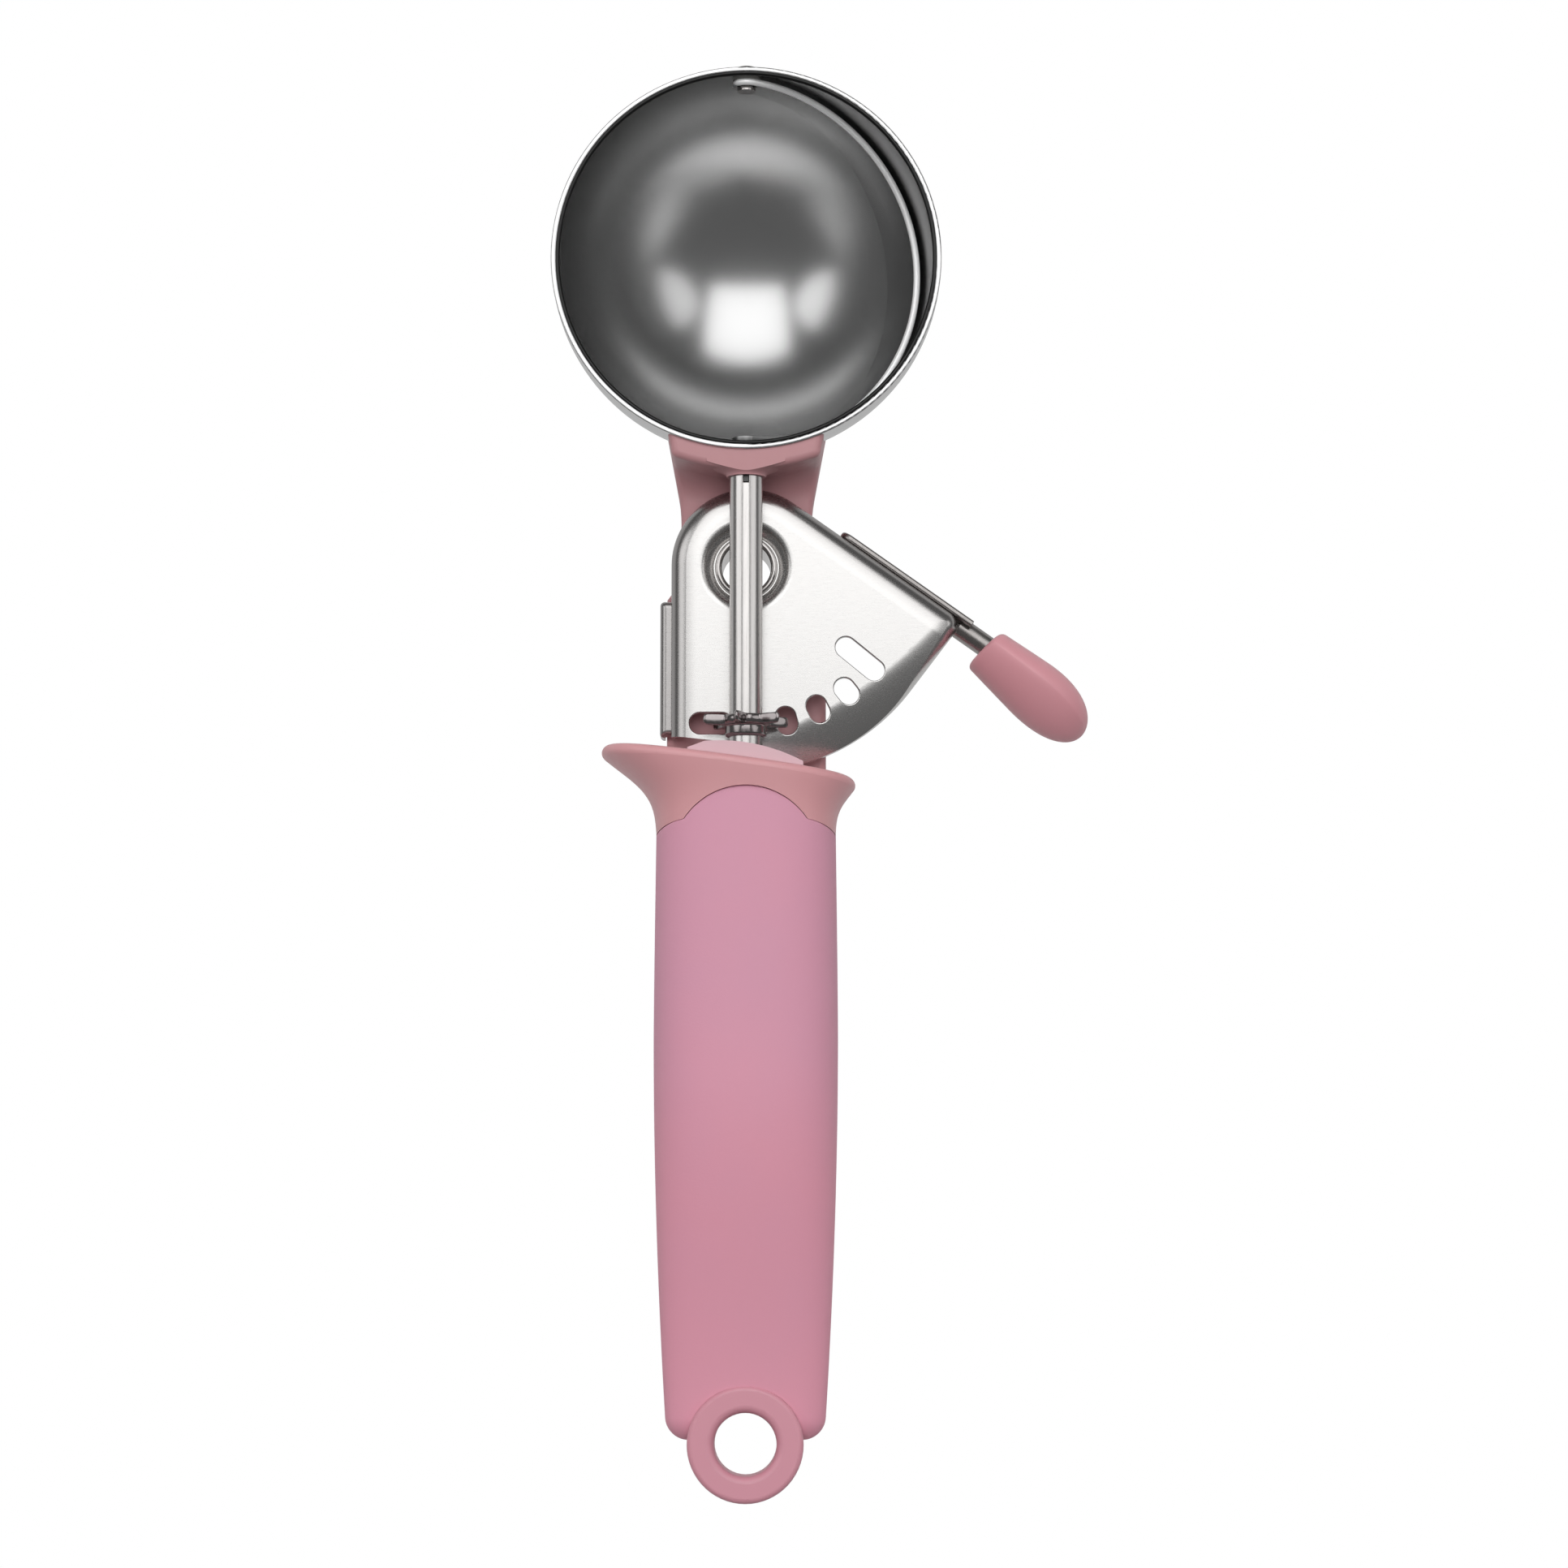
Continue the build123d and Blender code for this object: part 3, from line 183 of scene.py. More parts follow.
def scallop(x):
    """Height of the parting line: a circle's arc in the middle and a falling shoulder at each side."""
    side = np.abs(x)
    radius = (SCALLOP_SHOULDER_X**2 + SCALLOP_ARCH**2) / (2 * SCALLOP_ARCH)
    arch = SCALLOP_ARCH - radius + np.sqrt(radius**2 - np.minimum(side, SCALLOP_SHOULDER_X) ** 2)
    out = np.clip((side - SCALLOP_SHOULDER_X) / (GRIP_HALF_WIDTH - SCALLOP_SHOULDER_X), 0, 1)
    return SCALLOP_LOW + SCALLOP_SHOULDER * (1 - out**SHOULDER_POWER) + arch


print("scallop's height in the middle and at the side", scallop(0.0), scallop(GRIP_HALF_WIDTH))

# %% The grip's section and where it meets the ring
GRIP_FULLNESS = 0.73
GRIP_END = 0.6
GRIP_END_ROUND = 3.4
RING_SEAT = 8.4
HALVINGS = 30


def oval_ring(quarter, fullness):
    """Oval of four cubic curves: a(t) = (1-t)^3 + 3(1-t)^2 t + 3(1-t) t^2 f and b(t) = a(1-t)."""
    t = np.arange(quarter) / quarter
    a = (1 - t) ** 3 + 3 * (1 - t) ** 2 * t + 3 * (1 - t) * t**2 * fullness
    b = t**3 + 3 * t**2 * (1 - t) + 3 * t * (1 - t) ** 2 * fullness
    across = np.concatenate([a, -b, -a, b])
    deep = np.concatenate([b, a, -b, -a])
    return across, deep


def rounding(depth, radius):
    """How far an edge of radius r draws in at a depth d below its end: r - sqrt(r^2 - (r - d)^2)."""
    left = radius - np.clip(depth, 0.0, radius)
    return radius - np.sqrt(radius**2 - left**2)


def seat_height(across):
    """Height where each column meets the ring's circle, found by halving a span of heights."""
    low = np.full(across.shape, GRIP_END)
    high = np.full(across.shape, RING_SEAT)
    for halving in range(HALVINGS):
        middle = (low + high) / 2
        x = across * (grip_width(middle) - rounding(middle - GRIP_END, GRIP_END_ROUND))
        inside = np.hypot(x, middle) < RING_SEAT
        low = np.where(inside, middle, low)
        high = np.where(inside, high, middle)
    return low


print("seat in the middle and at the side", seat_height(np.array([0.0, 1.0])))

# %% The grip's surface
SEAM_ROUND = 0.2
SEAM_TUCK = 1.6
GRIP_ROWS = 170
GRIP_QUARTER = 44


def eased(count):
    """Shares from 0 to 1 that lie closer together at both ends: (1 - cos(pi s)) / 2."""
    return 0.5 - 0.5 * np.cos(np.linspace(0.0, math.pi, count))


def grip_points():
    """Rows y from the ring's circle to the scallop: x = a (W(y) - inset) and z = b (D(y) - inset).

    a and b are the oval's two curves. The inset rounds both ends, and a last row tucks in.
    """
    across, deep = oval_ring(GRIP_QUARTER, GRIP_FULLNESS)
    low = seat_height(across)
    top = scallop(across * grip_width(GRIP_TOP))
    y = low + (top - low) * eased(GRIP_ROWS)[:, None]
    inset = rounding(y - GRIP_END, GRIP_END_ROUND) + rounding(top - y, SEAM_ROUND)
    x = across * (grip_width(y) - inset)
    z = deep * (grip_depth(y) - inset)
    body = np.stack([x, y, z], axis=-1)
    cap = body[:1] * (1.0, 1.0, 0.0)
    tuck_x = across * (grip_width(top) - SEAM_TUCK)
    tuck_z = deep * (grip_depth(top) - SEAM_TUCK)
    tucked = np.stack([tuck_x, top, tuck_z], axis=-1)
    return np.concatenate([cap, body, tucked[None]])


soft_grip = surface_piece("soft_grip", grip_points(), "handle")
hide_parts("grip_sleeve")

# %% [markdown]
# ## Thumb pad
# The pad is a solid moulding pushed on the lever's rod. It starts with a flat, slightly slanted end,
# widens and runs out in a round tip. A soft ridge along its front parts a lit face from a shaded one.
# Sculpting would do, but a superellipse gives the ridge with two exponents: the lower one sharpens
# the section's middle, and a shift moves the ridge a little to one side.

# %% The pad's section
PAD_RIDGE_SHIFT = 0.3
PAD_RIDGE_POWER = 1.5
PAD_DEPTH_POWER = 2.3
PAD_COLUMNS = 128


def full_turn(count):
    """Angles round a circle, none of them twice."""
    return np.linspace(0, 2 * math.pi, count, endpoint=False)


def signed_power(value, power):
    """|v|^p with the sign of v."""
    return np.sign(value) * np.abs(value) ** power


def pad_section():
    """Section |u|^p + |w|^q = 1, with u shifted by k (1 - u^2) so that the ridge lies off centre."""
    turn = full_turn(PAD_COLUMNS)
    u = signed_power(np.cos(turn), 2 / PAD_RIDGE_POWER)
    w = signed_power(np.sin(turn), 2 / PAD_DEPTH_POWER)
    return u + PAD_RIDGE_SHIFT * (1 - u**2), w


print("pad's ridge lies at", PAD_RIDGE_SHIFT, "and its section reaches", pad_section()[0].max())

# %% The pad's surface
PIVOT_Y = 138.0
ARM_SLOPE_DEG = 35.4
PAD_START = 38.4
PAD_ACROSS = 12.29
PAD_LENGTH = 20.6
PAD_Z = -2.7
PAD_START_HALF = 3.7
PAD_SPREAD = 2.3
PAD_HALF_DEPTH = 7.4
PAD_START_DEPTH = 0.78
PAD_DEEPEST = 0.5
PAD_TIP_FROM = 0.45
PAD_SINK = 0.6
PAD_SAG = 1.9
PAD_SLANT = 0.2
PAD_END_ROUND = 0.8
PAD_CAP = 0.02
PAD_ROWS = 110


def on_lever(along, across, z):
    """Points from their distance along the arm and across it: the arm's slope, turned at the pivot."""
    slope = math.radians(ARM_SLOPE_DEG)
    x = along * math.cos(slope) + across * math.sin(slope)
    y = PIVOT_Y - along * math.sin(slope) + across * math.cos(slope)
    return np.stack([x, y, z], axis=-1)


def pad_points():
    """Sections that widen along the rod and shrink over the tip by sqrt(1 - t^2), a half ellipse."""
    u, w = pad_section()
    share = eased(PAD_ROWS)[:, None]
    tip = np.clip((share - PAD_TIP_FROM) / (1 - PAD_TIP_FROM), 0, 1)
    end = np.sqrt(1 - tip**2)
    inset = rounding(share * PAD_LENGTH, PAD_END_ROUND)
    half = (PAD_START_HALF + PAD_SPREAD * share) * end - inset
    swell = np.sin(math.pi * np.minimum(share, PAD_DEEPEST))
    deep = PAD_HALF_DEPTH * (PAD_START_DEPTH + (1 - PAD_START_DEPTH) * swell) * end - inset
    side = u * np.maximum(half, 0)
    along = PAD_START + PAD_LENGTH * share + PAD_SLANT * side * (1 - share)
    across = PAD_ACROSS - PAD_SINK - PAD_SAG * share + side
    body = on_lever(along, across, PAD_Z + w * np.maximum(deep, 0))
    start = body[:1].mean(axis=1, keepdims=True)
    cap = start + (body[:1] - start) * PAD_CAP
    return np.concatenate([cap, body])


thumb_bar = surface_piece("thumb_bar", pad_points(), "lever")
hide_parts("thumb_pad")

# %% [markdown]
# ## Return spring
# A wound wire round the pivot brings the lever back. One straight leg stands against a post on the
# back plate and the other pushes on the sector plate's edge. The tube goes round a centre line of
# leg, helix and leg.

# %% The spring's centre line
COIL_RADIUS = 7.7
COIL_LOW = -2.075
COIL_HIGH = 1.075
COIL_START_DEG = 180.0
COIL_WOUND_DEG = 829.4
COIL_STEPS = 260
ANCHOR_LEG = 12.0
PUSH_LEG = 11.0
LEG_STEPS = 12


def spring_line():
    """Line r (cos a, sin a) with a falling evenly while z climbs, and a straight leg at each end."""
    share = np.linspace(0, 1, COIL_STEPS)
    angle = np.radians(COIL_START_DEG - COIL_WOUND_DEG * share)
    x = COIL_RADIUS * np.cos(angle)
    y = PIVOT_Y + COIL_RADIUS * np.sin(angle)
    coil = np.stack([x, y, COIL_LOW + (COIL_HIGH - COIL_LOW) * share], axis=-1)
    way = np.stack([np.sin(angle), -np.cos(angle), np.zeros_like(angle)], axis=-1)
    legs = np.linspace(0, 1, LEG_STEPS)[:, None]
    first = coil[0] - way[0] * ANCHOR_LEG * (1 - legs[:-1])
    last = coil[-1] + way[-1] * PUSH_LEG * legs[1:]
    return np.concatenate([first, coil, last])


wire_length = np.linalg.norm(np.diff(spring_line(), axis=0), axis=1).sum()
print("spring's wire", round(wire_length, 1), "mm long")

# %% The spring's wire
WIRE_RADIUS = 0.425
WIRE_SIDES = 14
UPWARD = (0.0, 0.0, 1.0)


def unit(vectors):
    """Vectors of length 1 in the same directions."""
    return vectors / np.linalg.norm(vectors, axis=-1, keepdims=True)


def tube_points(line, first, second, radius, sides):
    """Rings round a line: p + r (cos a u + sin a v), with u and v square to the line at each point."""
    turn = full_turn(sides)[None, :, None]
    ring = np.cos(turn) * first[:, None] + np.sin(turn) * second[:, None]
    return line[:, None] + np.reshape(radius, (-1, 1, 1)) * ring


def spring_points():
    """A tube of the wire's radius round the spring's centre line."""
    line = spring_line()
    ahead = unit(np.gradient(line, axis=0))
    side = unit(np.cross(ahead, UPWARD))
    return tube_points(line, side, np.cross(side, ahead), WIRE_RADIUS, WIRE_SIDES)


wound_spring = surface_piece("wound_spring", spring_points())
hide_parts("return_spring")
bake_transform(wound_spring)

# %% [markdown]
# ## The sweeping strip's rounded edge
# The strip's front edge is ground round, and shows as one thin line of light from the eye at the far
# rim to the shaft. A bevel on the strip would change a mesh that has to stay as it is, so a round
# bead is carried along the edge instead: it goes over the eye, follows the strip on its sphere, and
# runs out thin at the near end.
# Its matte near-white finish, set below, is a painted highlight that keeps this line pale in the
# bowl's shade.

# %% The strip's edge line
EDGE_SPHERE = 29.1
EDGE_HALF = 4.5
EYE_RADIUS = 2.2
EYE_FROM_DEG = 185.0
EYE_TO_DEG = 92.0
EYE_STEPS = 24
NEAR_END = 0.97
LINE_STEPS = 200


def strip_edge_line():
    """Over the eye a circle, then points on a sphere at the height of a flat arc across the strip."""
    turn = np.radians(np.linspace(EYE_FROM_DEG, EYE_TO_DEG, EYE_STEPS))
    far = math.sqrt(EDGE_SPHERE**2 - EYE_RADIUS**2)
    eye_y = np.full_like(turn, far)
    over_eye = np.stack([EYE_RADIUS * np.cos(turn), eye_y, EYE_RADIUS * np.sin(turn)], axis=-1)
    y = far * np.cos(np.linspace(0.0, NEAR_END * math.pi, LINE_STEPS))
    rise = EDGE_HALF - EYE_RADIUS
    arc = (EDGE_SPHERE**2 + rise**2) / (2 * rise)
    height = EDGE_HALF - arc + np.sqrt(arc**2 - y**2)
    out = np.sqrt(np.maximum(EDGE_SPHERE**2 - y**2 - height**2, 0.0))
    return np.concatenate([over_eye, np.stack([out, y, height], axis=-1)])


print("strip's edge reaches out", round(strip_edge_line()[:, 0].max(), 2), "mm")

# %% The strip's bead
BOWL_CENTRE = (0.0, 186.4, 6.5)
STRIP_REST_DEG = 28.0
BEAD_RADIUS = 0.54
BEAD_THIN = 0.12
BEAD_FAR_TAPER = 0.04
BEAD_NEAR_TAPER = 0.3
BEAD_SIDES = 16


def bead_points():
    """A tube round the edge line, thinned by a sine at both ends and turned to the strip at rest."""
    line = strip_edge_line()
    ahead = unit(np.gradient(line, axis=0))
    side = unit(np.cross(ahead, unit(line)))
    share = np.linspace(0, 1, len(line))
    ends = np.clip(np.minimum(share / BEAD_FAR_TAPER, (1 - share) / BEAD_NEAR_TAPER), 0, 1)
    radius = BEAD_THIN + (BEAD_RADIUS - BEAD_THIN) * np.sin(ends * math.pi / 2)
    points = tube_points(line, np.cross(side, ahead), side, radius, BEAD_SIDES)
    rest = math.radians(STRIP_REST_DEG)
    x = points[..., 0] * math.cos(rest) + points[..., 2] * math.sin(rest)
    z = points[..., 2] * math.cos(rest) - points[..., 0] * math.sin(rest)
    return np.stack([x, points[..., 1], z], axis=-1) + BOWL_CENTRE


strip_bead = surface_piece("strip_bead", bead_points(), "sweeper")

# %% [markdown]
# ## The rim's inner edge
# The rim is turned in a little, and its rounded inner edge mirrors the dark inside of the bowl. From
# above it is one dark line inside the bright rim. Here that line is painted: a thin ring of near-black
# colour lies on the edge, a painted reflection of the bowl's dark inside. Painting it on the bowl
# would depend on the bowl's triangles, so the ring is a piece of its own: a small circle is carried
# round the bowl's axis, and the grid closes both ways.

# %% Rim edge
RIM_Z = 10.5
RIM_INSIDE = 30.2
RIM_LINE_HALF = 0.4
RIM_LINE_DROP = 0.42
RIM_SIDES = 12
RIM_STEPS = 240


def rim_line_points():
    """A circle of radius a carried round at R: (R + a cos u) (cos v, sin v), height a sin u."""
    section = full_turn(RIM_SIDES)[:, None]
    turn = full_turn(RIM_STEPS)[None, :]
    reach = RIM_INSIDE - RIM_LINE_HALF / 2 + RIM_LINE_HALF * np.cos(section)
    height = RIM_Z - RIM_LINE_DROP + RIM_LINE_HALF * np.sin(section)
    x = reach * np.cos(turn)
    y = BOWL_CENTRE[1] + reach * np.sin(turn)
    return np.stack(np.broadcast_arrays(x, y, height), axis=-1)


rim_painted_reflection = surface_piece("rim_painted_reflection", rim_line_points(), "handle", ring=True)

# %% [markdown]
# ## Star wheel
# The wheel that walks through the plate's holes is one smooth casting: six rounded points that flow
# into each other, and a round collar below them. Joining six cones to a disc would leave creases.
# Half a section, from the bore round the collar and the points and back to the bore, is carried
# round the shaft instead, while its reach follows the star.

# %% The wheel's collar
WHEEL_LOW = 111.8
COLLAR_LOW = 110.0
COLLAR_RADIUS = 3.3
COLLAR_ROUND = 0.5
COLLAR_FILLET = 0.15
COLLAR_STEPS = 7


def collar_section():
    """Reach and height of the collar: a quarter circle at its foot, a straight side and a fillet."""
    quarter = np.radians(np.linspace(-90, 0, COLLAR_STEPS))
    side_reach = COLLAR_RADIUS - COLLAR_ROUND + COLLAR_ROUND * np.cos(quarter)
    side_y = COLLAR_LOW + COLLAR_ROUND + COLLAR_ROUND * np.sin(quarter)
    fillet_reach = COLLAR_RADIUS + COLLAR_FILLET * np.array([0, 0, 1])
    fillet_y = WHEEL_LOW - COLLAR_FILLET * np.array([2, 1, 0])
    return np.concatenate([side_reach, fillet_reach]), np.concatenate([side_y, fillet_y])


print("collar from", COLLAR_LOW, "to", collar_section()[1].max())

# %% The wheel's surface
SHAFT_Z = BOWL_CENTRE[2]
WHEEL_POINTS = 6
FIRST_POINT_DEG = 42.0
POINT_POWER = 12
WHEEL_BORE = 2.6
WHEEL_ROOT = 3.9
WHEEL_TIP = 7.0
WHEEL_HIGH = 113.4
WHEEL_EDGE = 0.4
WHEEL_COLUMNS = 360
WHEEL_EDGE_ROWS = 13


def wheel_points():
    """Reach R(a) = root + (tip - root) cos(3 a)^12 round the shaft, with a round edge and a collar."""
    turn = full_turn(WHEEL_COLUMNS)
    point = np.cos(WHEEL_POINTS / 2 * (turn - math.radians(FIRST_POINT_DEG))) ** POINT_POWER
    rim = WHEEL_ROOT + (WHEEL_TIP - WHEEL_ROOT) * point
    half = np.radians(np.linspace(-90, 90, WHEEL_EDGE_ROWS))[:, None]
    edge_reach = rim[None] - WHEEL_EDGE + WHEEL_EDGE * np.cos(half)
    edge_y = (WHEEL_LOW + WHEEL_HIGH) / 2 + (WHEEL_HIGH - WHEEL_LOW) / 2 * np.sin(half)
    collar_reach, collar_y = collar_section()
    around = np.ones_like(turn)[None]
    plain_reach = np.concatenate([[WHEEL_BORE], collar_reach])[:, None] * around
    plain_y = np.concatenate([[COLLAR_LOW], collar_y])[:, None] * around
    reach = np.concatenate([plain_reach, edge_reach, WHEEL_BORE * around])
    y = np.concatenate([plain_y, edge_y * around, WHEEL_HIGH * around])
    x = reach * np.cos(turn)
    z = SHAFT_Z + reach * np.sin(turn)
    return np.stack([x, y, z], axis=-1)[:, ::-1]


star_wheel = surface_piece("star_wheel", wheel_points(), "sweeper", ring=True)
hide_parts("pinion")

# %% [markdown]
# ## Node helpers
# A finish is a tree of nodes. The node editor builds such a tree by hand, and these helpers do the
# same with one line a node: a socket is either linked to another socket or given a value. Effects
# that more than one finish uses become node groups, built once and placed with their own values.

# %% Nodes and sockets
NUMBER_RESULTS = ("DOT_PRODUCT", "LENGTH", "DISTANCE")


def add(tree, kind, **values):
    """A node of a kind, with attributes set by name."""
    node = tree.nodes.new(kind)
    for key, value in values.items():
        setattr(node, key, value)
    return node


def feed(tree, socket, value):
    """Link a socket to another one, or write a number, colour or place into it."""
    if isinstance(value, bpy.types.NodeSocket):
        tree.links.new(value, socket)
    else:
        socket.default_value = value


def math_node(tree, operation, first, second=0.0):
    """The result of an operation on two numbers, given as sockets or values."""
    node = add(tree, "ShaderNodeMath", operation=operation)
    feed(tree, node.inputs[0], first)
    feed(tree, node.inputs[1], second)
    return node.outputs[0]


def vector_node(tree, operation, first, second=(0.0, 0.0, 0.0)):
    """The result of an operation on two vectors, given as sockets or values."""
    node = add(tree, "ShaderNodeVectorMath", operation=operation)
    feed(tree, node.inputs[0], first)
    feed(tree, node.inputs[1], second)
    return node.outputs["Value" if operation in NUMBER_RESULTS else "Vector"]


def ramp(tree, value, start, end):
    """A value that climbs smoothly from 0 at the start to 1 at the end."""
    node = add(tree, "ShaderNodeMapRange", interpolation_type="SMOOTHSTEP")
    feed(tree, node.inputs["From Min"], start)
    feed(tree, node.inputs["From Max"], end)
    feed(tree, node.inputs["Value"], value)
    return node.outputs["Result"]


# %% Groups


def new_group(name, inputs, outputs):
    """Shader node group with its sockets, and its input and output nodes."""
    tree = bpy.data.node_groups.new(name, "ShaderNodeTree")
    for label, kind in inputs:
        tree.interface.new_socket(name=label, in_out="INPUT", socket_type=kind)
    for label, kind in outputs:
        tree.interface.new_socket(name=label, in_out="OUTPUT", socket_type=kind)
    print("group", name, "gives", [label for label, kind in outputs])
    return tree, add(tree, "NodeGroupInput"), add(tree, "NodeGroupOutput")


def placed_group(tree, group, **values):
    """A shared effect, placed in a material with its own values."""
    node = add(tree, "ShaderNodeGroup", node_tree=group)
    for label, value in values.items():
        node.inputs[label].default_value = value
    return node


# %% [markdown]
# ## Grain and polishing lines
# Moulded plastic has a fine grain, and belt-polished steel has fine lines. Both are one noise: even
# in all directions it is a grain, and stretched along one of them it turns into lines. An image would
# do too, but noise on Object coordinates needs no unwrapping and stays sharp at any distance. The
# group puts out a bumped normal and the noise's own value, which spreads the roughness.

# %% Grain and polishing lines
GRAIN_DETAIL = 3.0


def surface_noise_group():
    """Noise of a size per direction that gives a bumped normal and a value for roughness."""
    inputs = [("Size", "NodeSocketVector"), ("Depth", "NodeSocketFloat")]
    outputs = [("Normal", "NodeSocketVector"), ("Value", "NodeSocketFloat")]
    tree, given, result = new_group("surface_noise", inputs, outputs)
    place = add(tree, "ShaderNodeTexCoord").outputs["Object"]
    noise = add(tree, "ShaderNodeTexNoise")
    noise.inputs["Scale"].default_value = 1.0
    noise.inputs["Detail"].default_value = GRAIN_DETAIL
    feed(tree, noise.inputs["Vector"], vector_node(tree, "MULTIPLY", place, given.outputs["Size"]))
    bump = add(tree, "ShaderNodeBump")
    feed(tree, bump.inputs["Distance"], given.outputs["Depth"])
    feed(tree, bump.inputs["Height"], noise.outputs["Fac"])
    feed(tree, result.inputs["Normal"], bump.outputs["Normal"])
    feed(tree, result.inputs["Value"], noise.outputs["Fac"])
    return tree


surface_noise = surface_noise_group()

# %% [markdown]
# ## Spun lines
# A bowl that is finished on a lathe keeps fine rings round its axis. An image of rings would have to
# be laid on the bowl and would stretch at its bottom. Noise that sees only the distance from the
# axis and the height is the same all the way round, so it makes rings by itself.

# %% Spun lines
SPUN_DETAIL = 2.0
FLAT = (1.0, 1.0, 0.0)


def from_middle(tree, middle):
    """The place on the surface, counted from a middle point."""
    place = add(tree, "ShaderNodeTexCoord").outputs["Object"]
    return vector_node(tree, "SUBTRACT", place, middle)


def spun_lines_group():
    """Noise over distance from the axis and height alone, so that it runs in rings round the axis."""
    inputs = [("Middle", "NodeSocketVector"), ("Fineness", "NodeSocketFloat")]
    tree, given, result = new_group("spun_lines", inputs, [("Value", "NodeSocketFloat")])
    way = from_middle(tree, given.outputs["Middle"])
    reach = vector_node(tree, "LENGTH", vector_node(tree, "MULTIPLY", way, FLAT))
    height = vector_node(tree, "DOT_PRODUCT", way, UPWARD)
    ring_place = add(tree, "ShaderNodeCombineXYZ")
    feed(tree, ring_place.inputs["X"], reach)
    feed(tree, ring_place.inputs["Y"], height)
    noise = add(tree, "ShaderNodeTexNoise")
    noise.inputs["Detail"].default_value = SPUN_DETAIL
    feed(tree, noise.inputs["Scale"], given.outputs["Fineness"])
    feed(tree, noise.inputs["Vector"], ring_place.outputs[0])
    feed(tree, result.inputs["Value"], noise.outputs["Fac"])
    return tree


spun_lines = spun_lines_group()

# %% [markdown]
# ## Cut edges
# The bowl and the strip are parts of spheres round one middle. Where their surface no longer faces
# that middle it is a cut edge, such as the rim, ground and paler than the skin; the paler colour is
# partly the ground edge and partly a painted highlight. The angle between the normal and the line from
# the middle tells edge from skin with no painting by hand.

# %% Cut edges
SKIN_FACING = 0.8
EDGE_FACING = 0.5


def cut_edge_group():
    """1 where the normal stands across the line from the middle, and 0 where it lies along it."""
    inputs = [("Middle", "NodeSocketVector")]
    tree, given, result = new_group("cut_edge", inputs, [("Mask", "NodeSocketFloat")])
    outward = vector_node(tree, "NORMALIZE", from_middle(tree, given.outputs["Middle"]))
    normal = add(tree, "ShaderNodeTexCoord").outputs["Normal"]
    facing = math_node(tree, "ABSOLUTE", vector_node(tree, "DOT_PRODUCT", outward, normal))
    feed(tree, result.inputs["Mask"], ramp(tree, facing, SKIN_FACING, EDGE_FACING))
    return tree


cut_edge = cut_edge_group()

# %% [markdown]
# ## Fades along a direction
# Some colours pass into others along a piece: the grip from rose to mauve, the plate into the painted
# shade of its flange. Colour painted on the mesh would need many points, so a group measures how far a
# point lies along a direction and lets a share climb smoothly from 0 to 1 between two places.

# %% Fades along a direction


def fade_along_group():
    """A share that climbs from 0 to 1 between two distances along a direction, in metres."""
    inputs = [("Direction", "NodeSocketVector")]
    inputs += [("Start", "NodeSocketFloat"), ("End", "NodeSocketFloat")]
    tree, given, result = new_group("fade_along", inputs, [("Share", "NodeSocketFloat")])
    place = add(tree, "ShaderNodeTexCoord").outputs["Object"]
    reach = vector_node(tree, "DOT_PRODUCT", place, given.outputs["Direction"])
    share = ramp(tree, reach, given.outputs["Start"], given.outputs["End"])
    feed(tree, result.inputs["Share"], share)
    return tree


fade_along = fade_along_group()

# %% [markdown]
# ## Materials with a grain
# Every finish here has a colour, a bumped normal and a roughness that varies with the noise, because
# nothing real is equally smooth all over. Each tree could be built apart, but they would differ only
# in numbers, so a helper makes that base, and plastics and metals add what is their own. The size of
# the noise is counted per metre, and the depth of its bumps is in metres.

# %% Materials with a grain
NOISE_SPAN = (0.3, 0.7)


def new_material(name):
    """A material with its node tree and its Principled shader."""
    material = bpy.data.materials.new(name)
    material.use_nodes = True
    tree = material.node_tree
    return material, tree, tree.nodes["Principled BSDF"]


def spread(tree, value, span, result):
    """A value inside a span, carried over evenly to another range."""
    node = add(tree, "ShaderNodeMapRange")
    limits = zip(("From Min", "From Max", "To Min", "To Max"), (*span, *result))
    for label, limit in limits:
        node.inputs[label].default_value = limit
    feed(tree, node.inputs["Value"], value)
    return node.outputs["Result"]


def grained(name, color, rough, lines, depth):
    """A material of one colour whose noise bumps the surface and spreads its roughness."""
    material, tree, shader = new_material(name)
    shader.inputs["Base Color"].default_value = color
    noise = placed_group(tree, surface_noise, Size=lines, Depth=depth)
    feed(tree, shader.inputs["Normal"], noise.outputs["Normal"])
    feed(tree, shader.inputs["Roughness"], spread(tree, noise.outputs["Value"], NOISE_SPAN, rough))
    print("finish", name, "roughness", rough)
    return material, shader


# %% [markdown]
# ## Pinks
# The plastics are pinks of one family. The soft grip is matte and goes from rose near the ring to
# mauve near the guard, with faint patches. The hard core shines more, and its ring is a little deeper
# than its guard. The thumb pad, the neck below the bowl and the pale bearing block have tones of
# their own, and a small nylon washer is moulded in the same way; its grey is partly its own and partly
# painted shade in the blade's eye. One pink for all would look like a single casting, so each moulding
# has its own colour, and the fade group mixes two of them where one passes into the other.

# %% Plastics and their fades
PATCH_SIZE = (45.0, 45.0, 45.0)
NOISE_MIDDLE = 0.5
# The mix node has sockets for each kind of data. These are its share and those for colours.
MIX_SHARE = 0
MIX_FIRST = 6
MIX_SECOND = 7
MIX_RESULT = 2


def plastic(name, color, rough, grain, depth, sheen):
    """Moulded plastic: one colour, fine grain and a sheen of its own."""
    material, shader = grained(name, color, rough, (grain, grain, grain), depth)
    shader.inputs["Specular IOR Level"].default_value = sheen
    return material


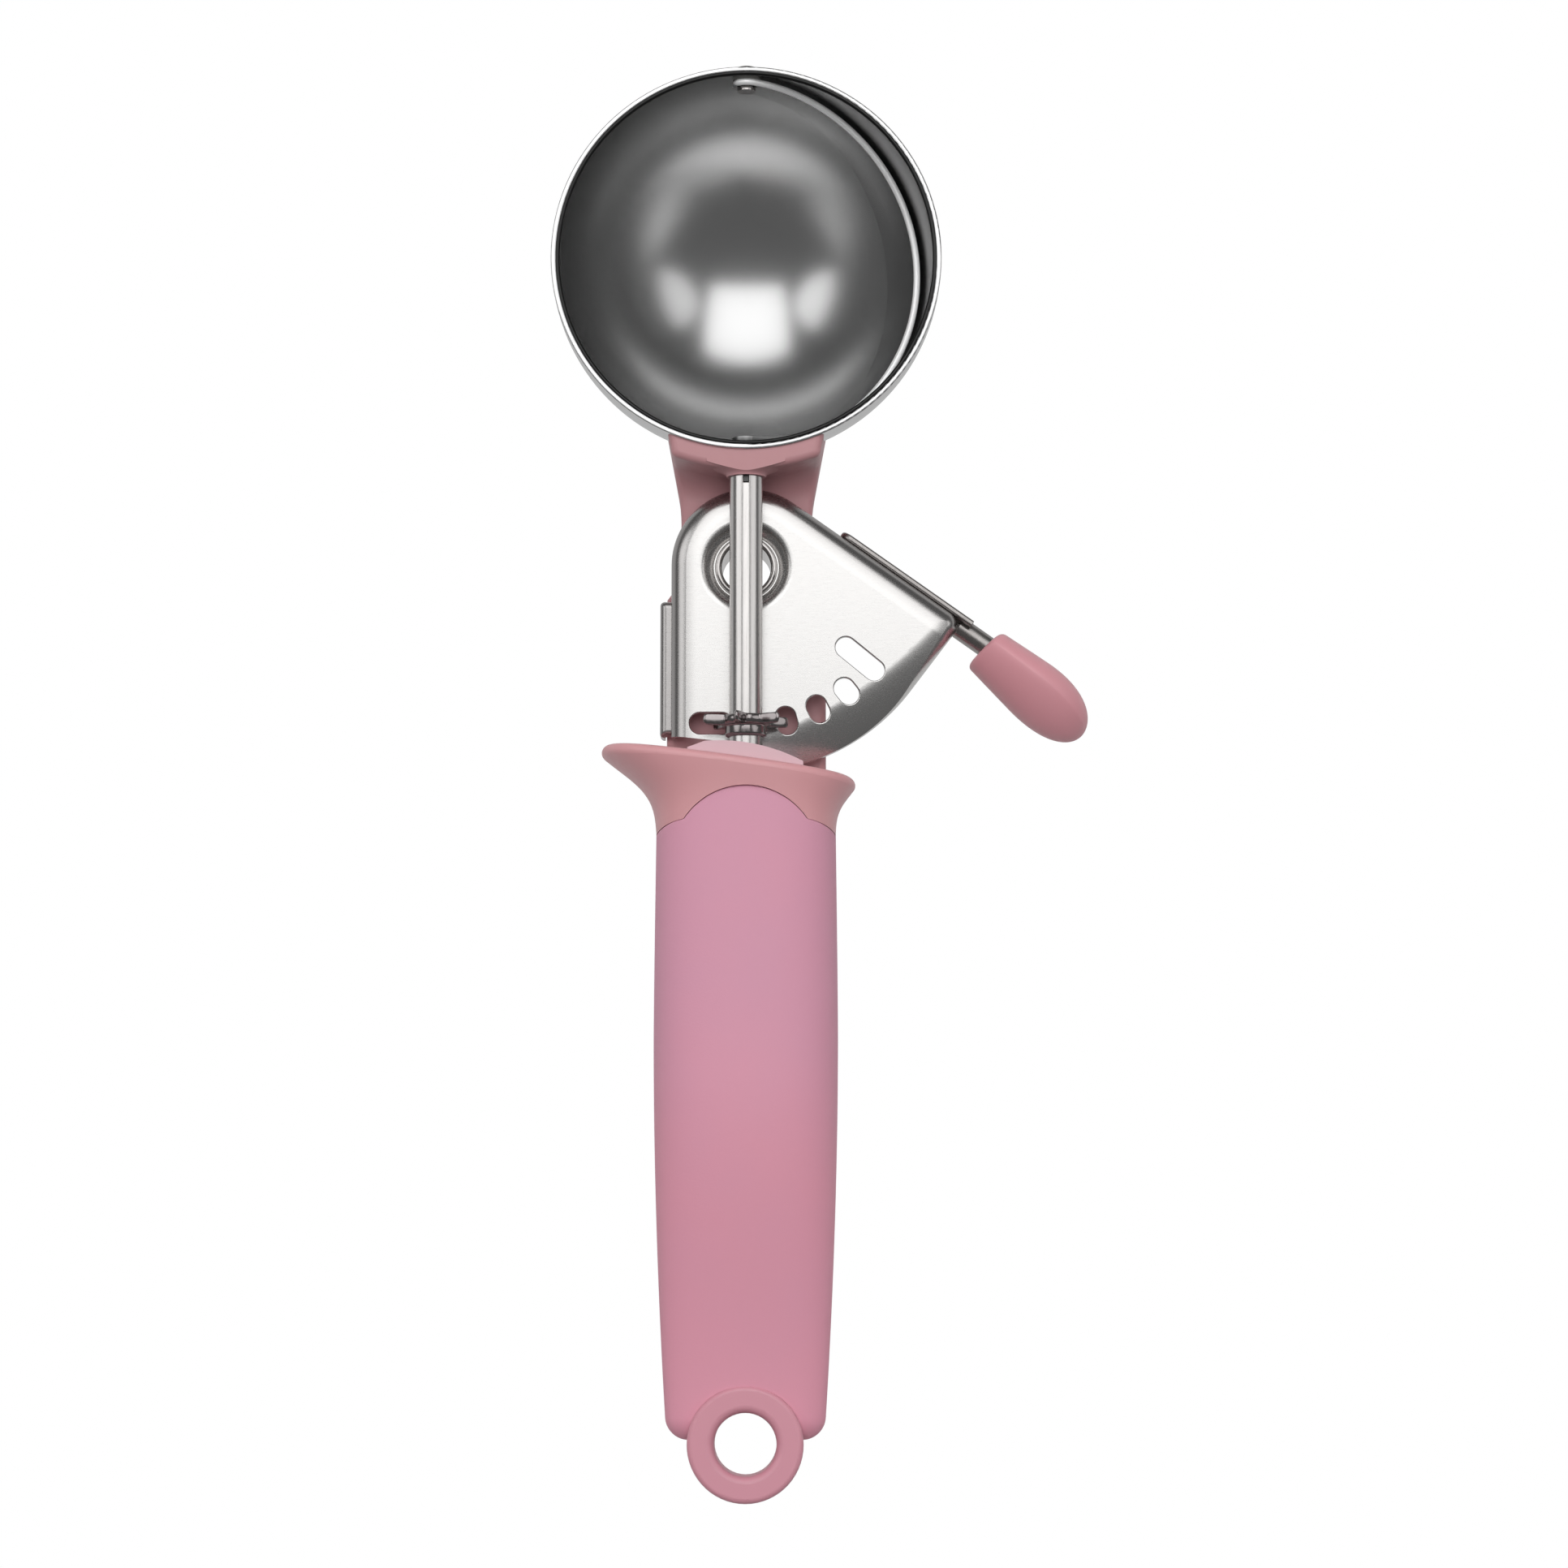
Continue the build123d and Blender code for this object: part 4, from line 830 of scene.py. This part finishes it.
def blended(tree, share, first, second):
    """A colour between two, given as sockets or values."""
    node = add(tree, "ShaderNodeMix", data_type="RGBA")
    feed(tree, node.inputs[MIX_SHARE], share)
    feed(tree, node.inputs[MIX_FIRST], first)
    feed(tree, node.inputs[MIX_SECOND], second)
    return node.outputs[MIX_RESULT]


def faded(tree, direction, span):
    """The share of a fade along a direction, over a span in millimetres."""
    start, end = span
    fade = placed_group(tree, fade_along, Direction=direction, Start=start * MM, End=end * MM)
    return fade.outputs["Share"]


def shade_along(material, direction, span, first, second, patches=0.0):
    """Let a colour pass into another along a direction, with soft patches if asked for."""
    tree = material.node_tree
    share = faded(tree, direction, span)
    if patches:
        noise = placed_group(tree, surface_noise, Size=PATCH_SIZE, Depth=0.0)
        shift = math_node(tree, "SUBTRACT", noise.outputs["Value"], NOISE_MIDDLE)
        share = math_node(tree, "ADD", share, math_node(tree, "MULTIPLY", shift, patches))
    color = blended(tree, share, first, second)
    feed(tree, tree.nodes["Principled BSDF"].inputs["Base Color"], color)
    print(material.name, "fades between", span, "mm")


# %% Pinks
ALONG = (0.0, 1.0, 0.0)
SOFT_GRAIN = 2600.0
SOFT_DEPTH = 2.0e-5
MOULD_GRAIN = 900.0
MOULD_DEPTH = 8.0e-6
GRIP_ROSE = (0.705, 0.308, 0.395, 1.0)
GRIP_MAUVE = (0.645, 0.308, 0.41, 1.0)
GRIP_FADE = (30.0, 75.0)
GRIP_PATCHES = 1.2
RING_PINK = (0.615, 0.272, 0.335, 1.0)
GUARD_PINK = (0.645, 0.315, 0.335, 1.0)
CORE_FADE = (20.0, 80.0)
PAD_PINK = (0.62, 0.28, 0.315, 1.0)
NECK_PINK = (0.46, 0.235, 0.25, 1.0)
BLOCK_PINK = (0.63, 0.42, 0.46, 1.0)
# Partly own grey, partly painted shade: the washer in the blade's eye.
NYLON_GREY_AND_PAINTED_SHADE = (0.32, 0.31, 0.3, 1.0)


def moulded(name, color, rough, sheen):
    """Hard moulded plastic with the grain that all of it shares."""
    return plastic(name, color, rough, MOULD_GRAIN, MOULD_DEPTH, sheen)


soft_pink = plastic("soft_pink", GRIP_ROSE, (0.52, 0.68), SOFT_GRAIN, SOFT_DEPTH, sheen=0.3)
shade_along(soft_pink, ALONG, GRIP_FADE, GRIP_ROSE, GRIP_MAUVE, GRIP_PATCHES)
core_pink = moulded("core_pink", GUARD_PINK, rough=(0.34, 0.46), sheen=0.55)
shade_along(core_pink, ALONG, CORE_FADE, RING_PINK, GUARD_PINK)
hard_pink = moulded("hard_pink", PAD_PINK, rough=(0.34, 0.46), sheen=0.55)
neck_pink = moulded("neck_pink", NECK_PINK, rough=(0.36, 0.48), sheen=0.35)
pale_pink = moulded("pale_pink", BLOCK_PINK, rough=(0.4, 0.5), sheen=0.4)
grey_nylon_and_shade = moulded("grey_nylon_and_shade", NYLON_GREY_AND_PAINTED_SHADE, rough=(0.4, 0.5), sheen=0.4)

# %% [markdown]
# ## Bowl and sweeping strip
# Both are satin steel with spun lines and cut edges that are paler, partly as ground edges and partly
# as a painted highlight. One finish could serve for both, but the strip is a little smoother than the
# bowl, and its near end, the tang at the shaft, is painted near-black as painted shade. The lines are
# a second bump on top of the grain's normal.

# %% Bowl and sweeping strip
SATIN_STEEL = (0.6, 0.6, 0.6, 1.0)
SATIN_GRAIN = (5200.0, 5200.0, 5200.0)
LINE_FINENESS = 3200.0
LINE_DEPTH = 7.0e-7
# Paler cut edges: partly ground steel, partly a painted highlight.
EDGE_GROUND_AND_HIGHLIGHT = (0.88, 0.88, 0.88, 1.0)
EDGE_ROUGH = 0.42
# Painted shade: the strip's tang near the shaft is near-black.
TANG_PAINTED_SHADE = (0.1, 0.1, 0.1, 1.0)
TANG_FADE = 2.0
STRIP_RADIUS = 29.5
bowl_place = Vector(BOWL_CENTRE) * MM


def spun_metal(name, rough, depth, painted_shade_below=None):
    """Satin steel with spun lines, cut edges paled partly by a painted highlight and, below a height
    if one is given, an end darkened by painted shade.
    """
    material, shader = grained(name, SATIN_STEEL, rough, SATIN_GRAIN, depth)
    tree = material.node_tree
    lines = placed_group(tree, spun_lines, Middle=bowl_place, Fineness=LINE_FINENESS)
    bump = add(tree, "ShaderNodeBump")
    bump.inputs["Distance"].default_value = LINE_DEPTH
    feed(tree, bump.inputs["Height"], lines.outputs["Value"])
    feed(tree, bump.inputs["Normal"], shader.inputs["Normal"].links[0].from_socket)
    feed(tree, shader.inputs["Normal"], bump.outputs["Normal"])
    edge = placed_group(tree, cut_edge, Middle=bowl_place).outputs["Mask"]
    tint = blended(tree, edge, SATIN_STEEL, EDGE_GROUND_AND_HIGHLIGHT)
    if painted_shade_below:
        share = faded(tree, ALONG, (painted_shade_below, painted_shade_below + TANG_FADE))
        tint = blended(tree, share, TANG_PAINTED_SHADE, tint)
    feed(tree, shader.inputs["Base Color"], tint)
    skin_rough = shader.inputs["Roughness"].links[0].from_socket
    edge_rough = math_node(tree, "MULTIPLY", edge, EDGE_ROUGH - rough[1])
    feed(tree, shader.inputs["Roughness"], math_node(tree, "ADD", skin_rough, edge_rough))
    shader.inputs["Metallic"].default_value = 1.0
    return material


bowl_steel = spun_metal("bowl_steel", rough=(0.225, 0.265), depth=6.0e-7)
tang_y = BOWL_CENTRE[1] - STRIP_RADIUS
blade_steel = spun_metal("blade_steel", rough=(0.18, 0.23), depth=4.5e-7, painted_shade_below=tang_y)

# %% [markdown]
# ## Sector plate
# The plate is pressed from belt-polished sheet. Its head and its two straight edges are drawn down in
# a soft curve that starts inside the rounding of its solid. Vertex paint would follow the mesh's
# triangles, so the distance towards the edges is worked out in the material. It feeds a bump that
# slopes away and a darker colour, which is painted shade. The bent stop flange is darker too, with
# painted shade.

# %% How far out a point of the plate lies
HEAD_FROM_PIVOT = (0.4, 0.5)
edge_slope = math.radians(ARM_SLOPE_DEG)
ACROSS_EDGE = (math.sin(edge_slope), math.cos(edge_slope), 0.0)
ALONG_EDGE = (math.cos(edge_slope), -math.sin(edge_slope), 0.0)
LEFTWARD = (-1.0, 0.0, 0.0)


def plate_reach(tree):
    """Way out from the head's middle: a radius round the head, and straight across to each edge."""
    head_middle = (HEAD_FROM_PIVOT[0] * MM, (PIVOT_Y + HEAD_FROM_PIVOT[1]) * MM, 0.0)
    way = from_middle(tree, head_middle)
    left = vector_node(tree, "DOT_PRODUCT", way, LEFTWARD)
    across = vector_node(tree, "DOT_PRODUCT", way, ACROSS_EDGE)
    above = math_node(tree, "GREATER_THAN", vector_node(tree, "DOT_PRODUCT", way, ALONG))
    behind = math_node(tree, "LESS_THAN", vector_node(tree, "DOT_PRODUCT", way, ALONG_EDGE))
    radius = vector_node(tree, "LENGTH", vector_node(tree, "MULTIPLY", way, FLAT))
    head = math_node(tree, "MULTIPLY", radius, math_node(tree, "MULTIPLY", above, behind))
    return math_node(tree, "MAXIMUM", math_node(tree, "MAXIMUM", left, across), head)


print("plate's upper edge runs along", ALONG_EDGE)

# %% Sector plate
PLATE_STEEL = (0.67, 0.66, 0.65, 1.0)
PLATE_LINES = (500.0, 5200.0, 5200.0)
# Painted shade: the bent stop flange's steel colour is darker.
FLANGE_PAINTED_SHADE = (0.3, 0.285, 0.28, 1.0)
FLANGE_FADE = (-11.7, -11.3)
SIDEWAYS = (1.0, 0.0, 0.0)
# Painted shade: the colour towards the plate's drawn edges is darker.
DRAWN_PAINTED_SHADE = (0.4, 0.385, 0.38, 1.0)
DRAWN_FROM = 8.0
DRAWN_TO = 12.2
DRAWN_DROP = 0.4


def metal(name, color, rough, lines, depth, bare=1.0):
    """Steel with lines or grain of a size per direction, partly matte where bare is under 1."""
    material, shader = grained(name, color, rough, lines, depth)
    shader.inputs["Metallic"].default_value = bare
    return material


def slope_and_shade_edges(material):
    """Let the plate slope away towards its drawn edges, and darken its colour there as painted shade.
    """
    tree = material.node_tree
    shader = tree.nodes["Principled BSDF"]
    share = ramp(tree, plate_reach(tree), DRAWN_FROM * MM, DRAWN_TO * MM)
    polished = shader.inputs["Base Color"].links[0].from_socket
    feed(tree, shader.inputs["Base Color"], blended(tree, share, polished, DRAWN_PAINTED_SHADE))
    bump = add(tree, "ShaderNodeBump", invert=True)
    bump.inputs["Distance"].default_value = DRAWN_DROP * MM
    feed(tree, bump.inputs["Height"], share)
    feed(tree, bump.inputs["Normal"], shader.inputs["Normal"].links[0].from_socket)
    feed(tree, shader.inputs["Normal"], bump.outputs["Normal"])


plate_steel = metal("plate_steel", PLATE_STEEL, (0.25, 0.28), PLATE_LINES, depth=2.5e-7)
shade_along(plate_steel, SIDEWAYS, FLANGE_FADE, FLANGE_PAINTED_SHADE, PLATE_STEEL)
slope_and_shade_edges(plate_steel)

# %% [markdown]
# ## Bars, wire and small pieces
# These steels differ in tone and in the direction of their lines. The arm is rolled strip, the shaft
# is drawn bar with lines along it, and the eyelet and rivets are turned. The arm's dark grey is partly
# its own tone and partly painted dark reflection. The star wheel is a casting, and its dark tone is
# partly painted dark reflection too. The strip's bead is a ground edge: a matte white is mixed into
# its metal as a painted highlight, so that it stays pale in the bowl's shade. The rim's line is
# painted nearly black, a painted reflection of the bowl's dark inside. One steel for all would let
# small pieces melt into the plate behind them, so each has its own.

# %% Bars, wire and small pieces
EVEN_GRAIN = (2500.0, 2500.0, 2500.0)
# Partly own tone, partly painted dark reflection: the arm's dark steel.
ARM_TONE_AND_PAINTED_REFLECTION = (0.36, 0.34, 0.33, 1.0)
ARM_LINES = (900.0, 900.0, 4200.0)
BAR_STEEL = (0.62, 0.6, 0.59, 1.0)
BAR_LINES = (4200.0, 120.0, 4200.0)
TURNED_STEEL = (0.46, 0.44, 0.43, 1.0)
# Partly own tone, partly painted dark reflection: the star wheel's dark steel.
WHEEL_TONE_AND_PAINTED_REFLECTION = (0.33, 0.3, 0.3, 1.0)
# Painted highlight: the strip's bead is a matte near-white, pale even in the bowl's shade.
BEAD_PAINTED_HIGHLIGHT = (0.95, 0.95, 0.95, 1.0)
BEAD_BARE = 0.4
# Painted reflection: the rim's inner line is near-black.
RIM_REFLECTION_PAINT = (0.04, 0.04, 0.04, 1.0)
WIRE_STEEL = (0.5, 0.49, 0.47, 1.0)
arm_steel = metal("arm_steel", ARM_TONE_AND_PAINTED_REFLECTION, (0.24, 0.34), ARM_LINES, depth=8.0e-7)
shaft_steel = metal("shaft_steel", BAR_STEEL, (0.2, 0.28), BAR_LINES, depth=8.0e-7)
turned_steel = metal("turned_steel", TURNED_STEEL, (0.12, 0.2), EVEN_GRAIN, depth=1.0e-6)
wheel_steel = metal("wheel_steel", WHEEL_TONE_AND_PAINTED_REFLECTION, (0.14, 0.2), EVEN_GRAIN, depth=4.0e-7)
bead_painted_highlight = metal("bead_painted_highlight", BEAD_PAINTED_HIGHLIGHT, (0.38, 0.42), EVEN_GRAIN, depth=5.0e-7, bare=BEAD_BARE)
rim_reflection_paint = metal("rim_reflection_paint", RIM_REFLECTION_PAINT, (0.3, 0.4), EVEN_GRAIN, depth=5.0e-7)
spring_steel = metal("spring_steel", WIRE_STEEL, (0.2, 0.3), EVEN_GRAIN, depth=2.0e-6)

# %% [markdown]
# ## Dress the pieces
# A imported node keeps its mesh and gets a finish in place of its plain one. A new piece gets a finish
# too, and names the record's material slot that it belongs to. Finishes could be dropped on the
# pieces in the viewport, but a list of names does the same on every run.

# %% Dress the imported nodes


def dress(material, *names):
    """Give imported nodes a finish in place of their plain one."""
    for name in names:
        mesh = nodes[name].data
        mesh.materials.clear()
        mesh.materials.append(material)
    print(material.name, "on", names)


dress(bowl_steel, "bowl")
dress(blade_steel, "scraper_blade")
dress(plate_steel, "sector_plate", "pivot_washer")
dress(arm_steel, "lever_arm")
dress(shaft_steel, "shaft", "blade_pin", "tang_pin")
dress(turned_steel, "pivot_eyelet", "bowl_rivets", "blade_pivot_rivet")
dress(core_pink, "handle_core")
dress(neck_pink, "frame")
dress(pale_pink, "bearing_block")
dress(grey_nylon_and_shade, "blade_pivot_washer")

# %% Dress the new pieces
for piece, material, slot in (
    (soft_grip, soft_pink, "soft_pink"),
    (thumb_bar, hard_pink, "hard_pink"),
    (wound_spring, spring_steel, "spring_steel"),
    (strip_bead, bead_painted_highlight, "bowl_steel"),
    (rim_painted_reflection, rim_reflection_paint, "bowl_steel"),
    (star_wheel, wheel_steel, "shaft_steel"),
):
    piece.data.materials.append(material)
    print(material.name, "on", piece.name)

# %% [markdown]
# ## Floor
# The photograph has a pure white ground with no shadow. More light would burn out the pinks, so the
# floor itself glows: white to the camera, and in mirrored views pale near the scoop and darker
# further out, which gives the steel its greys. To all other light it is a plain matte floor.

# %% The floor's material
FLOOR_GAP = 0.0002
FLOOR_Z = cad_low.z - FLOOR_GAP
FLOOR_MIDDLE = (0.0, 0.12, FLOOR_Z)
FLOOR_COLOR = (0.9, 0.9, 0.9, 1.0)
FLOOR_ROUGH = 0.9
GLOW_REACH = (0.14, 0.3)
GLOW_STRENGTH = (0.6, 0.1)


def floor_material():
    """White to the camera, pale to dark grey with the distance in reflections, matte to the rest."""
    material, tree, shader = new_material("pale_floor")
    shader.inputs["Base Color"].default_value = FLOOR_COLOR
    shader.inputs["Roughness"].default_value = FLOOR_ROUGH
    shader.inputs["Specular IOR Level"].default_value = 0.0
    path = add(tree, "ShaderNodeLightPath")
    to_camera = path.outputs["Is Camera Ray"]
    place = add(tree, "ShaderNodeTexCoord").outputs["Object"]
    reach = vector_node(tree, "DISTANCE", place, FLOOR_MIDDLE)
    mirrored = spread(tree, reach, GLOW_REACH, GLOW_STRENGTH)
    glow = add(tree, "ShaderNodeEmission")
    feed(tree, glow.inputs["Strength"], math_node(tree, "MAXIMUM", to_camera, mirrored))
    mix = add(tree, "ShaderNodeMixShader")
    by_mirror = path.outputs["Is Glossy Ray"]
    through_glass = path.outputs["Is Transmission Ray"]
    indirect = math_node(tree, "MAXIMUM", by_mirror, through_glass)
    feed(tree, mix.inputs[0], math_node(tree, "MAXIMUM", to_camera, indirect))
    feed(tree, mix.inputs[1], shader.outputs[0])
    feed(tree, mix.inputs[2], glow.outputs[0])
    feed(tree, tree.nodes["Material Output"].inputs["Surface"], mix.outputs[0])
    return material


print("floor lies at", FLOOR_Z)

# %% Floor
FLOOR_HALF = 3.0
floor_mesh = bpy.data.meshes.new("floor")
corners = [(-1, -1), (1, -1), (1, 1), (-1, 1)]
floor_points = [(x * FLOOR_HALF, y * FLOOR_HALF, FLOOR_Z) for x, y in corners]
floor_mesh.from_pydata(floor_points, [], [(0, 1, 2, 3)])
floor_mesh.materials.append(floor_material())
floor = bpy.data.objects.new("floor", floor_mesh)
collection.objects.link(floor)
print("floor", 2 * FLOOR_HALF, "m wide")

# %% [markdown]
# ## Light
# A wide softbox above the bowl makes the large bright patch inside it and on the sector plate. Two
# oval boxes low at the sides make the patches beside it. Spots would make hard glints, so all lights
# are broad areas. A fill that no metal reflects lifts the pinks, and a dim grey world keeps the
# shadows open. Standard view shows colours about as they are written.

# %% Softboxes


def softbox(name, turn_deg, distance, size, strength, shape="RECTANGLE"):
    """Area light that shines at the bowl from angles off the upward axis towards +X and +Y."""
    lamp = bpy.data.lights.new(name, "AREA")
    lamp.shape = shape
    lamp.size, lamp.size_y = size
    filled = math.pi / 4 if shape == "ELLIPSE" else 1.0
    lamp.energy = strength * size[0] * size[1] * filled * math.pi
    turn_x, turn_y = (math.radians(angle) for angle in turn_deg)
    way = Vector((math.tan(turn_x), math.tan(turn_y), 1.0)).normalized()
    light = bpy.data.objects.new(name, lamp)
    light.location = bowl_place + way * distance
    light.rotation_euler = way.to_track_quat("Z", "Y").to_euler()
    collection.objects.link(light)
    print(name, "at", tuple(light.location), "power", lamp.energy)
    return light


softbox("overhead", (0, 26), distance=1.0, size=(0.9, 0.97), strength=1.6)
softbox("right_side", (53, 20), distance=1.0, size=(0.62, 0.78), strength=1.0, shape="ELLIPSE")
softbox("left_side", (-52, 21), distance=1.0, size=(0.62, 0.78), strength=1.3, shape="ELLIPSE")
fill = softbox("fill", (0, 4), distance=1.3, size=(1.1, 1.1), strength=2.2)
fill.visible_glossy = False

# %% World and view
WORLD_GREY = (0.14, 0.14, 0.14, 1.0)
world = bpy.data.worlds.new("studio")
bpy.context.scene.world = world
world.use_nodes = True
background = world.node_tree.nodes["Background"]
background.inputs["Color"].default_value = WORLD_GREY
background.inputs["Strength"].default_value = 1.0
bpy.context.scene.view_settings.view_transform = "Standard"
print("world", WORLD_GREY)
